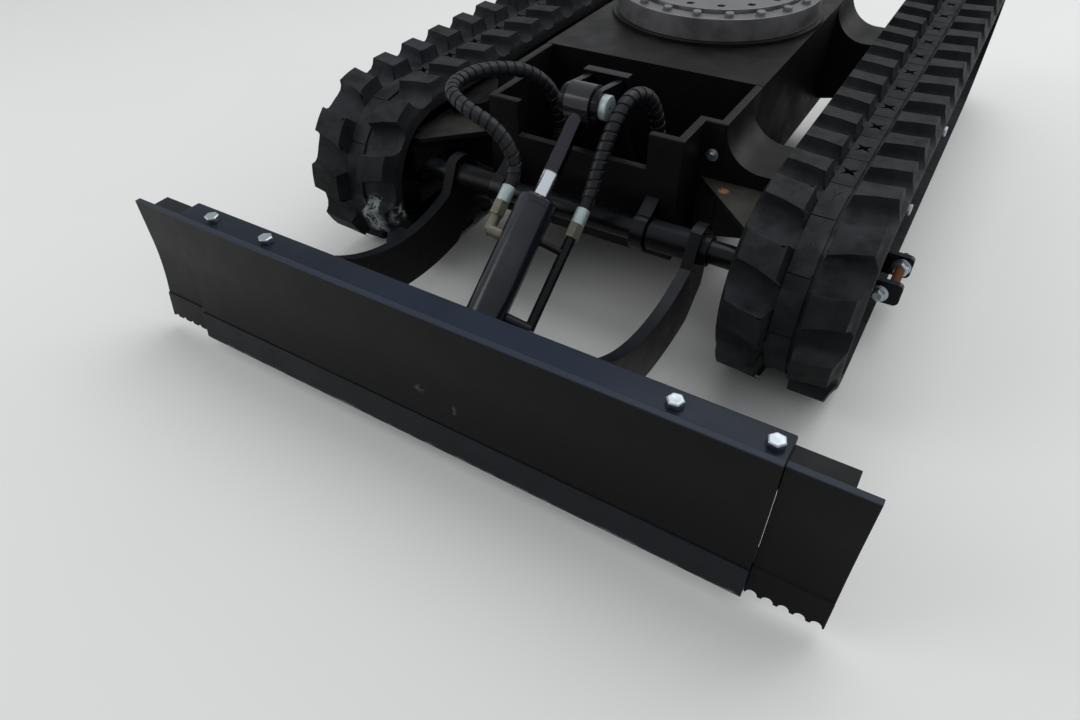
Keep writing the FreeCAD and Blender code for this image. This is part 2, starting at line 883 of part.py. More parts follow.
body_half, tail_half = "Layout.body_width / 2", "Sizes.tail_width / 2"
nose_half = "Sizes.nose_width / 2"
wall = "Sizes.nose_wall"
body_rear = "(Layout.slew_y + Sizes.body_rear)"
CARBODY_PLAN = (
    (f"-{body_half}", "Layout.well_y"),
    (body_half, "Layout.well_y"),
    (body_half, body_rear),
    (tail_half, f"{body_rear} + Sizes.tail_depth"),
    (f"-{tail_half}", f"{body_rear} + Sizes.tail_depth"),
    (f"-{body_half}", body_rear),
)
NOSE_PLAN = (
    (f"-{nose_half}", "Layout.nose_y"),
    (nose_half, "Layout.nose_y"),
    (nose_half, "Layout.body_y"),
    (body_half, "Layout.body_y"),
    (body_half, "Layout.well_y"),
    (f"-{body_half}", "Layout.well_y"),
    (f"-{body_half}", "Layout.body_y"),
    (f"-{nose_half}", "Layout.body_y"),
)
WELL_PLAN = (
    (f"-{nose_half} + {wall}", f"Layout.nose_y + {wall}"),
    (f"{nose_half} - {wall}", f"Layout.nose_y + {wall}"),
    (f"{nose_half} - {wall}", f"Layout.body_y + {wall}"),
    (f"{body_half} - {wall}", f"Layout.body_y + {wall}"),
    (f"{body_half} - {wall}", "Layout.well_y + Sizes.overrun"),
    (f"-{body_half} + {wall}", "Layout.well_y + Sizes.overrun"),
    (f"-{body_half} + {wall}", f"Layout.body_y + {wall}"),
    (f"-{nose_half} + {wall}", f"Layout.body_y + {wall}"),
)

hull = raised(CARBODY_PLAN, "Sizes.body_top - Sizes.body_base")
place(hull, "0", "0", "Sizes.body_base")
deck = primitive(
    "Cylinder",
    ("0", "Layout.slew_y", "Sizes.body_top"),
    Radius="Layout.deck_radius",
    Height="Sizes.ring_base - Sizes.body_top",
)
publish(fuse(hull, deck), "carbody")

shell = raised(NOSE_PLAN, "Sizes.body_top - Sizes.body_base")
place(shell, "0", "0", "Sizes.body_base")
well = raised(WELL_PLAN, "Sizes.body_top - Sizes.body_base")
place(well, "0", "0", f"Sizes.body_base + {wall}")
mouth = block(
    "-Sizes.mouth_width / 2",
    "Layout.nose_y - Sizes.overrun",
    "Sizes.mouth_base",
    "Sizes.mouth_width",
    f"{wall} + 2 * Sizes.overrun",
    "Sizes.body_top - Sizes.mouth_base + Sizes.overrun",
)
publish(cut(cut(shell, well), mouth), "nose_box")


def leg(y):
    """A box-section leg from the carbody to a track frame, its top edge hollowed at the body."""
    half = d.body_width / 2
    r, top = d.leg_fillet, d.leg_top
    chord = r * math.cos(math.radians(45))
    wire = outline(
        (half, d.leg_low),
        (d.frame_face, d.leg_low + d.leg_rise),
        (d.frame_face, top),
        (half + r, top),
        ((half + r - chord, top + r - chord), (half, top + r)),
        view=front_view,
    )
    return extruded_y(wire, y, d.leg_depth)


leg_pieces = []
for leg_y in (d.body_y, d.slew_y + d.rear_leg_offset):
    leg_pieces.extend([leg(leg_y), mirrored(leg(leg_y))])
feature("legs", Part.makeCompound(leg_pieces))


def gusset():
    """A flat triangle that ties a front leg to the track frame's inner wall."""
    edge = d.body_y - d.gusset_reach
    wire = outline(
        (d.gusset_root, d.body_y),
        (d.frame_face, d.body_y),
        (d.frame_face, edge),
        (d.frame_face - d.gusset_land, edge),
        view=top_view,
    )
    wire.translate(Vector(0, 0, d.frame_top - d.gusset_thickness))
    return Part.Face(wire).extrude(Vector(0, 0, d.gusset_thickness))


feature("gussets", Part.makeCompound([gusset(), mirrored(gusset())]))


def rod_tower():
    """The post in the well that the cylinder's rod pulls on: a plate with a web behind it."""
    floor = d.body_base + d.nose_wall
    wide, narrow, top = d.tower_foot_width / 2, d.tower_width / 2, d.tower_top
    wire = outline(
        (-wide, floor),
        (wide, floor),
        (wide, d.tower_waist_height),
        (narrow, d.mouth_base),
        (narrow, top),
        (-narrow, top),
        (-narrow, d.mouth_base),
        (-wide, d.tower_waist_height),
        view=front_view,
    )
    back = d.tower_y + d.tower_depth
    web = outline((back, floor), (back + d.tower_web_reach, floor), (back, d.body_top))
    return joined(extruded_y(wire, d.tower_y, d.tower_depth), slab(web, -d.tower_web / 2, d.tower_web))


feature("rod_tower", rod_tower())


def hose_port(sign):
    """A block on the well's floor with an upright port that a hose enters."""
    floor = d.body_base + d.nose_wall
    half, x = d.port_block / 2, sign * d.port_offset
    body = cell_box((x - half, d.port_y - half, floor), (x + half, d.port_y + half, d.port_block_top))
    neck_height = d.port_top - d.port_play - d.port_block_top
    neck = Part.makeCylinder(d.port_radius, neck_height, Vector(x, d.port_y, d.port_block_top))
    return joined(body, neck)


feature("hose_ports", Part.makeCompound([hose_port(1), hose_port(-1)]))


# Slew ring and turntable

ring_disc = primitive(
    "Cylinder",
    ("0", "Layout.slew_y", "Sizes.ring_base"),
    Radius="Sizes.ring_radius",
    Height="Sizes.ring_height",
)
ring_bore = primitive(
    "Cylinder",
    ("0", "Layout.slew_y", "Sizes.ring_base - Sizes.overrun"),
    Radius="Sizes.ring_radius - Sizes.ring_section",
    Height="Sizes.ring_height + 2 * Sizes.overrun",
)
publish(cut(ring_disc, ring_bore), "slew_ring_outer")


def turntable():
    """The ring that turns inside the slew ring and carries the upper machine on bolts."""
    body = doc.addObject("PartDesign::Body", "Turntable")
    rings = new_sketch(body, "Rings")
    sketch_circle(rings, "Layout.turntable_radius")
    sketch_circle(rings, "Layout.turntable_bore")
    pad(body, rings, "Sizes.turntable_height - Sizes.seat")
    doc.recompute()
    bolt = new_sketch(body, "BoltHole")
    middle = Vector(d.turntable_pcd / 2, 0, 0)
    index = bolt.addGeometry(Part.Circle(middle, Vector(0, 0, 1), d.bolt_hole), False)
    bolt.addConstraint(Sketcher.Constraint("PointOnObject", index, 3, -1))
    across = bolt.addConstraint(Sketcher.Constraint("DistanceX", -1, 1, index, 3, middle.x))
    bolt.setExpression(f"Constraints[{across}]", "Layout.turntable_pcd / 2")
    wide = bolt.addConstraint(Sketcher.Constraint("Radius", index, d.bolt_hole))
    bolt.setExpression(f"Constraints[{wide}]", "Sizes.bolt_hole")
    pocket = body.newObject("PartDesign::Pocket", "Bolt")
    pocket.Profile = bolt
    pocket.Type = "ThroughAll"
    pocket.Midplane = True
    repeated(body, pocket, bolt, "Sizes.turntable_bolts")
    return body


table = turntable()
place(table, "0", "Layout.slew_y", "Sizes.ring_base + Sizes.seat")
publish(table, "turntable")

swivel = primitive(
    "Cylinder",
    ("0", "Layout.slew_y", "Sizes.ring_base"),
    Radius="Sizes.swivel_radius",
    Height="Sizes.ring_height",
)
publish(swivel, "swivel_joint")


# Dozer blade


def mould_line(shift, top):
    """Points of the mouldboard's face from the cutting edge up, moved back by a shift."""
    low = (d.front_y + d.edge_rake + d.edge_step + shift, d.edge_top)
    middle = (d.lip_y - d.mould_hollow + shift, (d.edge_top + d.mould_bend) / 2)
    bend = (d.lip_y + shift, d.mould_bend)
    lip = (d.lip_y + shift, top)
    return low, middle, bend, lip


def mould_plate(shift, thickness, top):
    """The closed outline of a curved plate whose face is moved back by a shift."""
    low, middle, bend, lip = mould_line(shift, top)
    low_b, middle_b, bend_b, lip_b = mould_line(shift + thickness, top)
    return outline(low, (middle, bend), lip, lip_b, bend_b, (middle_b, low_b))


def edge_bar(shift, lift=0.0):
    """The closed outline of a cutting edge, raked back to its top."""
    z = d.blade_clearance + lift
    front = d.front_y + shift
    return outline(
        (front, z),
        (front + d.edge_rake, d.edge_top),
        (front + d.edge_rake + d.edge_thickness, d.edge_top),
        (front + d.edge_thickness, z),
    )


mouldboard = slab(mould_plate(0, d.mould_thickness, d.blade_top), -d.half_blade, d.blade_width)
cutting_edge = slab(edge_bar(0), -d.half_blade, d.blade_width)
feature("mouldboard", mouldboard)
feature("cutting_edge", cutting_edge)

box_outer = block(
    "-Layout.half_blade",
    "Layout.box_front",
    "Layout.box_base",
    "Sizes.blade_width",
    "Sizes.box_depth",
    "Sizes.box_height",
)
box_inner = block(
    "-Layout.half_blade - Sizes.overrun",
    "Layout.box_front + Sizes.box_wall",
    "Layout.box_base + Sizes.box_wall",
    "Sizes.blade_width + 2 * Sizes.overrun",
    "Sizes.box_depth - 2 * Sizes.box_wall",
    "Sizes.box_height - 2 * Sizes.box_wall",
)
publish(cut(box_outer, box_inner), "blade_top_box")


def blade_ribs():
    """The stiffener along the back of the blade with the upright ribs that tie it to the top box."""
    low = d.edge_top - d.stiffener_drop
    high = low + d.stiffener_height
    bar_back = d.edge_back + d.stiffener_depth
    bar = cell_box((-d.half_blade, d.edge_back, low), (d.half_blade, bar_back, high))
    wire = outline(
        (d.front_y, high),
        (bar_back, high),
        (d.edge_back + d.rib_depth, d.box_base),
        (d.front_y, d.box_base),
    )
    ribs = []
    for x in (-d.rib_far, -d.rib_near, d.rib_near, d.rib_far):
        plate = slab(wire, x - d.rib_thickness / 2, d.rib_thickness)
        pieces = plate.cut(mouldboard).cut(cutting_edge).Solids
        ribs.append(max(pieces, key=lambda solid: solid.CenterOfMass.y))
    return joined(bar, *ribs)


feature("blade_ribs", blade_ribs())


def wing(sign, wear_radius):
    """A bolted wing: its plate, its worn cutting edge and the tube that slides into the top box."""
    inner = d.half_blade + d.seat
    width = d.wing_width - d.seat
    tube_front = d.box_front + d.box_wall + d.seat
    shift = tube_front - d.wing_plate - d.lip_y
    plate = slab(mould_plate(shift, d.wing_plate, d.blade_top - d.wing_drop), inner, width)
    edge = slab(edge_bar(shift, d.wing_edge_lift), inner, width)
    low = (
        d.half_blade + d.tube_reach - d.tube_length,
        tube_front,
        d.box_base + d.box_wall + d.seat,
    )
    high = (
        d.half_blade + d.tube_reach,
        d.box_front + d.box_depth - d.box_wall - d.seat,
        d.box_top - d.box_wall - d.seat,
    )
    shape = joined(plate, edge, cell_box(low, high))
    bites = []
    base = d.blade_clearance + d.wing_edge_lift
    x = inner + d.wear_pitch / 2
    while x < inner + width - wear_radius:
        start = Vector(x, d.front_y, base)
        bites.append(Part.makeCylinder(wear_radius, 2 * d.box_depth, start, Vector(0, 1, 0)))
        x += d.wear_pitch
    shape = shape.cut(Part.makeCompound(bites))
    return shape if sign > 0 else mirrored(shape)


feature("wing_left", wing(1, d.wear_radius_left))
feature("wing_right", wing(-1, d.wear_radius_right))


# Blade arms: setback and height of each corner of the side view, and angles round the pivot

ARM_HEEL = (20, 182)
ARM_TOP = ((96, 182), ((215, 143), (325, 160)))
ARM_END_TOP, ARM_END_REAR, ARM_END_BELLY = 115, 20, -50
ARM_BELLY = ((374, 108), (330, 72), ((240, 66), (160, 78)), (20, 78))


def back(point):
    """A corner given by setback and height, in the model's own place."""
    if isinstance(point[0], tuple):
        return tuple(back(item) for item in point)
    return (d.front_y + point[0], point[1])


def about_pivot(radius, degrees):
    """The point round the blade's pivot at an angle from the rear."""
    angle = math.radians(degrees)
    return (d.pivot_y + radius * math.cos(angle), d.pivot_height + radius * math.sin(angle))


def arm():
    """A curved blade arm with its long pivot sleeve, cut to the back of the blade."""
    rounded = (about_pivot(d.arm_end, ARM_END_REAR), about_pivot(d.arm_end, ARM_END_BELLY))
    steps = [back(step) for step in ARM_TOP] + [about_pivot(d.arm_end, ARM_END_TOP), rounded]
    steps += [back(step) for step in ARM_BELLY]
    plate = slab(outline(back(ARM_HEEL), *steps), d.arm_inner, d.arm_thickness)
    box_space = cell_box(
        (-d.half_blade, d.box_front - d.overrun, d.box_base),
        (d.half_blade, d.box_front + d.box_depth, d.box_top + d.overrun),
    )
    plate = largest(plate.cut(mouldboard).cut(box_space))
    length = d.sleeve_outer - d.sleeve_inner
    sleeve = bar_x(d.sleeve_inner, d.pivot_y, d.pivot_height, d.sleeve_radius, length)
    bore_radius = d.shaft_radius + d.shaft_play
    bore = bore_x(d.sleeve_inner, d.pivot_y, d.pivot_height, bore_radius, length)
    return joined(plate, sleeve).cut(bore)


feature("blade_arm_left", arm())
feature("blade_arm_right", mirrored(arm()))

shaft = rod_x(
    "-Sizes.shaft_reach",
    "Layout.pivot_y",
    "Sizes.pivot_height",
    "Sizes.shaft_radius",
    "2 * Sizes.shaft_reach",
)
publish(shaft, "pivot_shaft")


def pivot_ear():
    """An ear on the nose that holds the pivot shaft."""
    y, z, r = d.pivot_y, d.pivot_height, d.ear_radius
    wire = outline(
        (y, z + r),
        (d.nose_y, z + d.ear_root),
        (d.nose_y, z - d.ear_root),
        (y, z - r),
        ((y - r, z), (y, z + r)),
    )
    plate = slab(wire, d.ear_inner, d.ear_thickness)
    return plate.cut(bore_x(d.ear_inner, y, z, d.shaft_radius, d.ear_thickness))


feature("pivot_ears", Part.makeCompound([pivot_ear(), mirrored(pivot_ear())]))


# Blade cylinder between the blade's back and the post in the well

slope = math.radians(d.cyl_slope)
AXIS = Vector(0, math.cos(slope), math.sin(slope))
LIFT = Vector(0, -math.sin(slope), math.cos(slope))


def along(distance, side=0, lift=0):
    """The point at a distance from the base pin along the cylinder, beside and above its axis."""
    return Vector(side, d.base_y, d.base_height) + AXIS * distance + LIFT * lift


def cyl(start, end, radius, side=0, lift=0):
    """A round piece along the cylinder's direction."""
    return Part.makeCylinder(radius, end - start, along(start, side, lift), AXIS)


half_eye = d.eye_width / 2
eye_bore = bore_x(-half_eye, d.base_y, d.base_height, d.pin_radius + d.shaft_play, d.eye_width)
barrel = joined(
    cyl(d.barrel_start, d.barrel_end, d.barrel_radius),
    cyl(0, d.barrel_start + d.overrun, d.barrel_neck),
    bar_x(-half_eye, d.base_y, d.base_height, d.eye_radius, d.eye_width),
)
barrel_bore = cyl(d.barrel_start + d.barrel_floor, d.barrel_end + d.overrun, d.barrel_bore)
feature("cylinder_barrel", barrel.cut(Part.makeCompound([barrel_bore, eye_bore])))

gland_end = d.barrel_end + d.gland_length
bevel_start = gland_end - d.gland_bevel
bevel = Part.makeCone(
    d.barrel_radius, d.barrel_radius - d.gland_bevel, d.gland_bevel, along(bevel_start), AXIS
)
gland = joined(cyl(d.barrel_end, bevel_start, d.barrel_radius), bevel)
gland_bore = cyl(d.barrel_end - d.overrun, gland_end + d.overrun, d.rod_radius + d.shaft_play)
feature("cylinder_gland", gland.cut(gland_bore))

rod_bore = bore_x(-half_eye, d.rod_y, d.rod_height, d.pin_radius + d.open_clearance, d.eye_width)
rod = joined(
    cyl(d.piston_start, d.cyl_length, d.rod_radius),
    cyl(d.piston_start, d.piston_start + d.piston_length, d.barrel_bore - d.seat),
    bar_x(-half_eye, d.rod_y, d.rod_height, d.rod_eye_radius, d.eye_width),
)
feature("cylinder_rod", rod.cut(rod_bore))


def cheeks(y, z, r, back_y, rise, drop):
    """A pair of plates beside a cylinder's eye, standing on what is at back_y."""
    toward = 1 if back_y > y else -1
    wire = outline(
        (y, z + r),
        (back_y, z + rise),
        (back_y, z - drop),
        (y, z - r),
        ((y - toward * r, z), (y, z + r)),
    )
    plate = slab(wire, half_eye + d.seat, d.cheek_plate)
    return plate, mirrored(plate)


def pin(y, z):
    """The pin through a cylinder's eye and its cheeks."""
    return bar_x(-d.pin_length / 2, y, z, d.pin_radius, d.pin_length)


blade_back = d.front_y + d.edge_rake
base_cheeks = []
stiffener_low = d.edge_top - d.stiffener_drop
stiffener_space = cell_box(
    (-d.half_blade, d.edge_back, stiffener_low),
    (d.half_blade, d.edge_back + d.stiffener_depth, stiffener_low + d.stiffener_height),
)
rise = d.base_cheek_rise
for plate in cheeks(d.base_y, d.base_height, d.eye_radius, blade_back, rise, rise):
    trimmed = plate.cut(Part.makeCompound([mouldboard, cutting_edge, stiffener_space]))
    base_cheeks.append(largest(trimmed))
feature("cylinder_base_bracket", joined(pin(d.base_y, d.base_height), *base_cheeks))

boss_start = half_eye + d.seat + d.cheek_plate
boss = bar_x(boss_start, d.rod_y, d.rod_height, d.pin_boss_radius, d.pin_boss)
rod_cheeks = cheeks(d.rod_y, d.rod_height, d.eye_radius, d.tower_y, d.rod_cheek_rise, d.rod_cheek_drop)
feature("cylinder_rod_bracket", joined(pin(d.rod_y, d.rod_height), boss, *rod_cheeks))


# Feed pipe, unions and ferrules on the cylinder

HEX_SIDES = 6


def spoke(distance, side, lift, radius):
    """A round boss from the barrel's wall out to a line beside it."""
    start = along(distance)
    reach = along(distance, side, lift) - start
    bar = Part.makeCylinder(radius, reach.Length, start, reach)
    return largest(bar.cut(cyl(0, d.barrel_end, d.barrel_radius)))


def hexagon(start, length, side, lift):
    """A hexagonal nut along the cylinder's direction."""
    corner = d.nut_flats / (2 * math.cos(math.pi / HEX_SIDES))
    centre = along(start, side, lift)
    points = []
    for index in range(HEX_SIDES):
        angle = 2 * math.pi * index / HEX_SIDES
        across = Vector(corner * math.cos(angle), 0, 0)
        points.append(centre + across + LIFT * (corner * math.sin(angle)))
    return Part.Face(Part.makePolygon(points + points[:1])).extrude(AXIS * length)


feed_line = (d.feed_side, d.feed_lift)
union_line = (d.union_side, d.union_lift)
feed = joined(
    cyl(d.feed_start, d.feed_end, d.feed_radius, *feed_line),
    spoke(d.feed_start, *feed_line, d.port_boss_radius),
    spoke(d.feed_strap, *feed_line, d.strap_radius),
)
feature("feed_pipe", feed)

feed_nut_end = d.feed_end + d.nut_length
union_nut_end = d.union_end + d.nut_length
union = joined(
    cyl(d.union_start, d.union_end, d.union_radius, *union_line),
    spoke(d.union_start, *union_line, d.port_boss_radius),
    hexagon(d.union_end, d.nut_length, *union_line),
)
feature("hose_fittings", Part.makeCompound([hexagon(d.feed_end, d.nut_length, *feed_line), union]))

ferrules = [
    cyl(feed_nut_end, feed_nut_end + d.ferrule_length, d.ferrule_radius, *feed_line),
    cyl(union_nut_end, union_nut_end + d.ferrule_length, d.ferrule_radius, *union_line),
]
feature("ferrules", Part.makeCompound(ferrules))


# Hoses from the ferrules to the ports in the well: x, setback and height of each point

RUN_SHARE = 0.45
HOSE_ROUTES = {
    "left": (
        (-52, 296, 283),
        (-78, 296, 308),
        (-120, 292, 326),
        (-160, 314, 330),
        (-170, 352, 332),
        (-150, 396, 335),
        (-112, 440, 324),
        (-86, 468, 286),
    ),
    "right": (
        (50, 348, 260),
        (52, 380, 302),
        (56, 420, 330),
        (68, 456, 320),
        (78, 472, 280),
    ),
}


def tube(name, points):
    """A hose along straight runs joined by arcs, each as large as its two runs allow."""
    edges = []
    radii = []
    here = points[0]
    for before, corner, after in zip(points, points[1:], points[2:]):
        arriving, leaving = corner - before, after - corner
        shorter = min(arriving.Length, leaving.Length)
        arriving.normalize()
        leaving.normalize()
        half_turn = arriving.getAngle(leaving) / 2
        reach = RUN_SHARE * shorter
        radius = reach / math.tan(half_turn)
        inward = (leaving - arriving).normalize()
        start, end = corner - arriving * reach, corner + leaving * reach
        middle = corner + inward * (radius / math.cos(half_turn) - radius)
        edges.append(Part.LineSegment(here, start).toShape())
        edges.append(Part.Arc(start, middle, end).toShape())
        radii.append(round(radius))
        here = end
    edges.append(Part.LineSegment(here, points[-1]).toShape())
    path = Part.Wire(edges)
    section = Part.Wire(Part.makeCircle(d.hose_radius, points[0], points[1] - points[0]))
    solid = path.makePipeShell([section], True, False)
    share = solid.Volume / (math.pi * d.hose_radius**2 * path.Length)
    print(name, "radii", radii, "length", round(path.Length, 1), "volume share", round(share, 4))
    return solid


HOSE_STARTS = {
    "left": (union_nut_end + d.ferrule_length, *union_line),
    "right": (feed_nut_end + d.ferrule_length, *feed_line),
}
for side, sign in (("left", -1), ("right", 1)):
    start, *line = HOSE_STARTS[side]
    route = [along(start, *line), along(start + d.hose_stub, *line)]
    route += [Vector(x, d.front_y + setback, height) for x, setback, height in HOSE_ROUTES[side]]
    port = Vector(sign * d.port_offset, d.port_y, d.port_top)
    route += [port + Vector(0, 0, d.hose_stub), port]
    feature(f"hose_{side}", tube(f"hose_{side}", route))


# Write every sub-part

doc.recompute()
os.makedirs("parts", exist_ok=True)
for item in doc.Objects:
    if "Invalid" in item.State or "Error" in item.State:
        raise RuntimeError(f"{item.Label} failed: {item.State}")
for item in sub_parts:
    if item.Shape.isNull() or not item.Shape.isValid():
        raise RuntimeError(f"{item.Label} has no valid shape")
for item in sub_parts:
    item.Shape.exportStep(f"parts/{item.Label}.step")
    print(item.Label, len(item.Shape.Solids), round(item.Shape.Volume / 1000), "cm3")
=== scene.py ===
"""Looks of a crawler undercarriage with its dozer blade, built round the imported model.

Metres. X to the machine's left side, Y to the rear, Z up from the ground. Sizes in the classes are
millimetres, and setbacks are measured to the rear from the front of the cutting edge.
"""
import logging
import math
from collections.abc import Callable, Iterable, Iterator, Mapping, Sequence
from contextlib import contextmanager
from dataclasses import dataclass, field
from enum import Enum
from functools import partial
from itertools import pairwise
from typing import NamedTuple

import bmesh
import bpy
import numpy as np
from mathutils import Matrix, Vector


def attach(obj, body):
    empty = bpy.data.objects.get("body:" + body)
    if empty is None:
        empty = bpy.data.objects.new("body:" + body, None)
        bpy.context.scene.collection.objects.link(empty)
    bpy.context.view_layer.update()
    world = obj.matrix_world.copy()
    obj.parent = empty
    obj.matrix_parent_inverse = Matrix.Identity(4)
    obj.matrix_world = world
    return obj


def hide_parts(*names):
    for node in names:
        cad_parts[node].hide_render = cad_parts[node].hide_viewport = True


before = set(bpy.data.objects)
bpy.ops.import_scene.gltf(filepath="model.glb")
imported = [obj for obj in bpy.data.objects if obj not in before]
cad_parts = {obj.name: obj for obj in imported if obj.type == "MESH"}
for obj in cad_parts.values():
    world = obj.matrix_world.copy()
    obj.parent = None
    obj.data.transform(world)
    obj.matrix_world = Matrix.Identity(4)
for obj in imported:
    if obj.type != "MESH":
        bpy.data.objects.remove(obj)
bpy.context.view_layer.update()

MM = 0.001
SAME = 1e-5  # metres, between points that count as one
NEAR = 0.1  # millimetres, the same while a link is shaped
FLAT = 0.98  # how far along Z the normal of a level face points
FRONT_Y = -741.796
SLOPE = math.radians(35.84)
BASE_PIN = (0.0, 74.0, 82.0)
UP, FRONT, REAR = Vector((0, 0, 1)), Vector((0, -1, 0)), Vector((0, 1, 0))
LOG = logging.getLogger("undercarriage")

Piece = bpy.types.Object
Material = bpy.types.Material
Node = bpy.types.Node
Socket = bpy.types.NodeSocket
Point = tuple[float, float, float]
Colour = tuple[float, float, float]
Entry = Socket | float | Sequence[float]
Layer = tuple[Socket, Colour]


class Body(str, Enum):
    """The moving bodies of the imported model."""

    UNDERCARRIAGE = "undercarriage"
    BLADE = "blade"
    CYLINDER = "cylinder"
    ROD = "rod"
    TURNTABLE = "turntable"


class Slot(str, Enum):
    """The record's material slots."""

    RUBBER = "rubber"
    HOSE = "hose"
    CHROME = "chrome"
    ZINC = "zinc"
    BRASS = "brass"
    EDGE_STEEL = "edge_steel"
    STEEL = "steel"
    BLACK_PAINT = "black_paint"


class Part(str, Enum):
    """The parts of a mesh that can be selected."""

    CORNER = "VERT"
    EDGE = "EDGE"
    FACE = "FACE"


def at(x: float, setback: float, height: float) -> Vector:
    """A point in metres from its x, setback and height in millimetres."""
    return Vector((x, FRONT_Y + setback, height)) * MM


class Bench:
    """Modelling steps that the sub-assemblies share."""

    @staticmethod
    def clear() -> None:
        """Leave nothing selected."""
        bpy.ops.object.select_all(action="DESELECT")

    @staticmethod
    def pick(piece: Piece) -> None:
        """Make one piece the only selected and active one.

        Args:
            piece: The piece.
        """
        Bench.clear()
        piece.select_set(True)
        bpy.context.view_layer.objects.active = piece

    @staticmethod
    @contextmanager
    def editing(piece: Piece) -> Iterator[None]:
        """Stay in edit mode on one piece for as long as a with block runs.

        Args:
            piece: The piece to edit.

        Yields:
            Nothing.
        """
        Bench.pick(piece)
        bpy.ops.object.mode_set(mode="EDIT")
        yield
        bpy.ops.object.mode_set(mode="OBJECT")

    @staticmethod
    def select(piece: Piece, kind: Part, test: Callable[..., bool]) -> None:
        """Select parts of a mesh in edit mode by their place.

        Args:
            piece: The piece in edit mode.
            kind: The kind of part.
            test: Says whether a part is selected.
        """
        bpy.ops.mesh.select_mode(type=kind.value)
        bpy.ops.mesh.select_all(action="DESELECT")
        mesh = bmesh.from_edit_mesh(piece.data)
        parts = {Part.CORNER: mesh.verts, Part.EDGE: mesh.edges, Part.FACE: mesh.faces}[kind]
        for part in [part for part in parts if test(part)]:
            part.select_set(True)
        mesh.select_flush_mode()
        bmesh.update_edit_mesh(piece.data)

    @staticmethod
    def select_all(piece: Piece) -> None:
        """Select the whole mesh in edit mode."""
        Bench.select(piece, Part.CORNER, lambda corner: True)

    @staticmethod
    def apply(piece: Piece, kind: str, **settings: object) -> None:
        """Add a modifier and apply it.

        Args:
            piece: The piece.
            kind: The modifier's type.
            settings: The modifier's properties.
        """
        Bench.pick(piece)
        modifier = piece.modifiers.new(kind.lower(), kind)
        for key, value in settings.items():
            setattr(modifier, key, value)
        bpy.ops.object.modifier_apply(modifier=modifier.name)

    @staticmethod
    def bevel(piece: Piece, width: float, angle: float = 35) -> None:
        """Round the edges that are sharper than an angle in degrees; the width is in millimetres."""
        limit = {"limit_method": "ANGLE", "angle_limit": math.radians(angle)}
        Bench.apply(piece, "BEVEL", width=width * MM, segments=2, **limit)

    @staticmethod
    def smooth(piece: Piece, angle: float = 35) -> None:
        """Shade the faces smooth except across edges sharper than an angle in degrees."""
        Bench.pick(piece)
        bpy.ops.object.shade_smooth_by_angle(angle=math.radians(angle))

    @staticmethod
    def settle(piece: Piece, name: str) -> Piece:
        """Put a piece's place into its mesh and name it.

        Args:
            piece: The piece.
            name: Its name.

        Returns:
            The same piece.
        """
        Bench.pick(piece)
        bpy.ops.object.transform_apply(location=True, rotation=True, scale=True)
        piece.name = name
        piece.data.name = name
        return piece

    @staticmethod
    def linked(name: str, data: bpy.types.ID) -> Piece:
        """Put new data into the scene.

        Args:
            name: The name of the object.
            data: Its mesh, curve, lamp or camera.

        Returns:
            The object.
        """
        piece = bpy.data.objects.new(name, data)
        bpy.context.scene.collection.objects.link(piece)
        return piece

    @staticmethod
    def joined(pieces: Sequence[Piece], name: str) -> Piece:
        """Join several meshes.

        Args:
            pieces: The pieces to join.
            name: The joined piece's name.

        Returns:
            The joined piece.
        """
        Bench.pick(pieces[0])
        for piece in pieces:
            piece.select_set(True)
        if len(pieces) > 1:
            bpy.ops.object.join()
        return Bench.settle(pieces[0], name)

    @staticmethod
    def copied(piece: Piece, place: Matrix, name: str) -> Piece:
        """Copy a pattern piece with its own mesh.

        Args:
            piece: The pattern.
            place: Where the copy goes.
            name: The copy's name.

        Returns:
            The copy, with its place in its mesh.
        """
        mesh = piece.data.copy()
        mesh.transform(place)
        mesh.name = name
        return Bench.linked(name, mesh)

    @staticmethod
    def discard(piece: Piece) -> None:
        """Remove a pattern piece that has been copied."""
        bpy.data.objects.remove(piece, do_unlink=True)

    @staticmethod
    def facing(origin: Vector, axis: Vector) -> Matrix:
        """The matrix that stands a piece drawn along Z on a point, along an axis."""
        return Matrix.Translation(origin) @ axis.to_track_quat("Z", "Y").to_matrix().to_4x4()

    @staticmethod
    def turned(profile: Sequence[tuple[float, float]], steps: int, name: str) -> Piece:
        """Spin a profile about Z.

        Args:
            profile: (radius, height) points in millimetres, from one end to the other.
            steps: How many faces go round.
            name: The piece's name.

        Returns:
            The closed piece about the origin.
        """
        Bench.clear()
        bpy.ops.mesh.primitive_plane_add(size=1)
        piece = bpy.context.object
        with Bench.editing(piece):
            bpy.ops.mesh.delete(type="VERT")
            mesh = bmesh.from_edit_mesh(piece.data)
            line = [mesh.verts.new((radius * MM, 0, height * MM)) for radius, height in profile]
            for ends in pairwise(line):
                mesh.edges.new(ends)
            bmesh.update_edit_mesh(piece.data)
            bpy.ops.mesh.select_all(action="SELECT")
            bpy.ops.mesh.spin(steps=steps, angle=2 * math.pi, center=(0, 0, 0), axis=(0, 0, 1))
            bpy.ops.mesh.select_all(action="SELECT")
            bpy.ops.mesh.remove_doubles(threshold=1e-6)
            bpy.ops.mesh.normals_make_consistent(inside=False)
        return Bench.settle(piece, name)

    @staticmethod
    def dressed(
        piece: Piece, body: Body, material: Material, slot: Slot, replaces: Iterable[str] = ()
    ) -> None:
        """Give a finished piece its material, its body and what it stands for.

        Args:
            piece: The finished piece.
            body: The body that it rides on.
            material: Its material.
            slot: Its slot in the record; not used.
            replaces: The model pieces that it is shown for.
        """
        piece.data.materials.clear()
        piece.data.materials.append(material)
        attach(piece, body.value)
        if replaces:
            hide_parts(*replaces)
        LOG.info("%s rides on %s", piece.name, body.value)


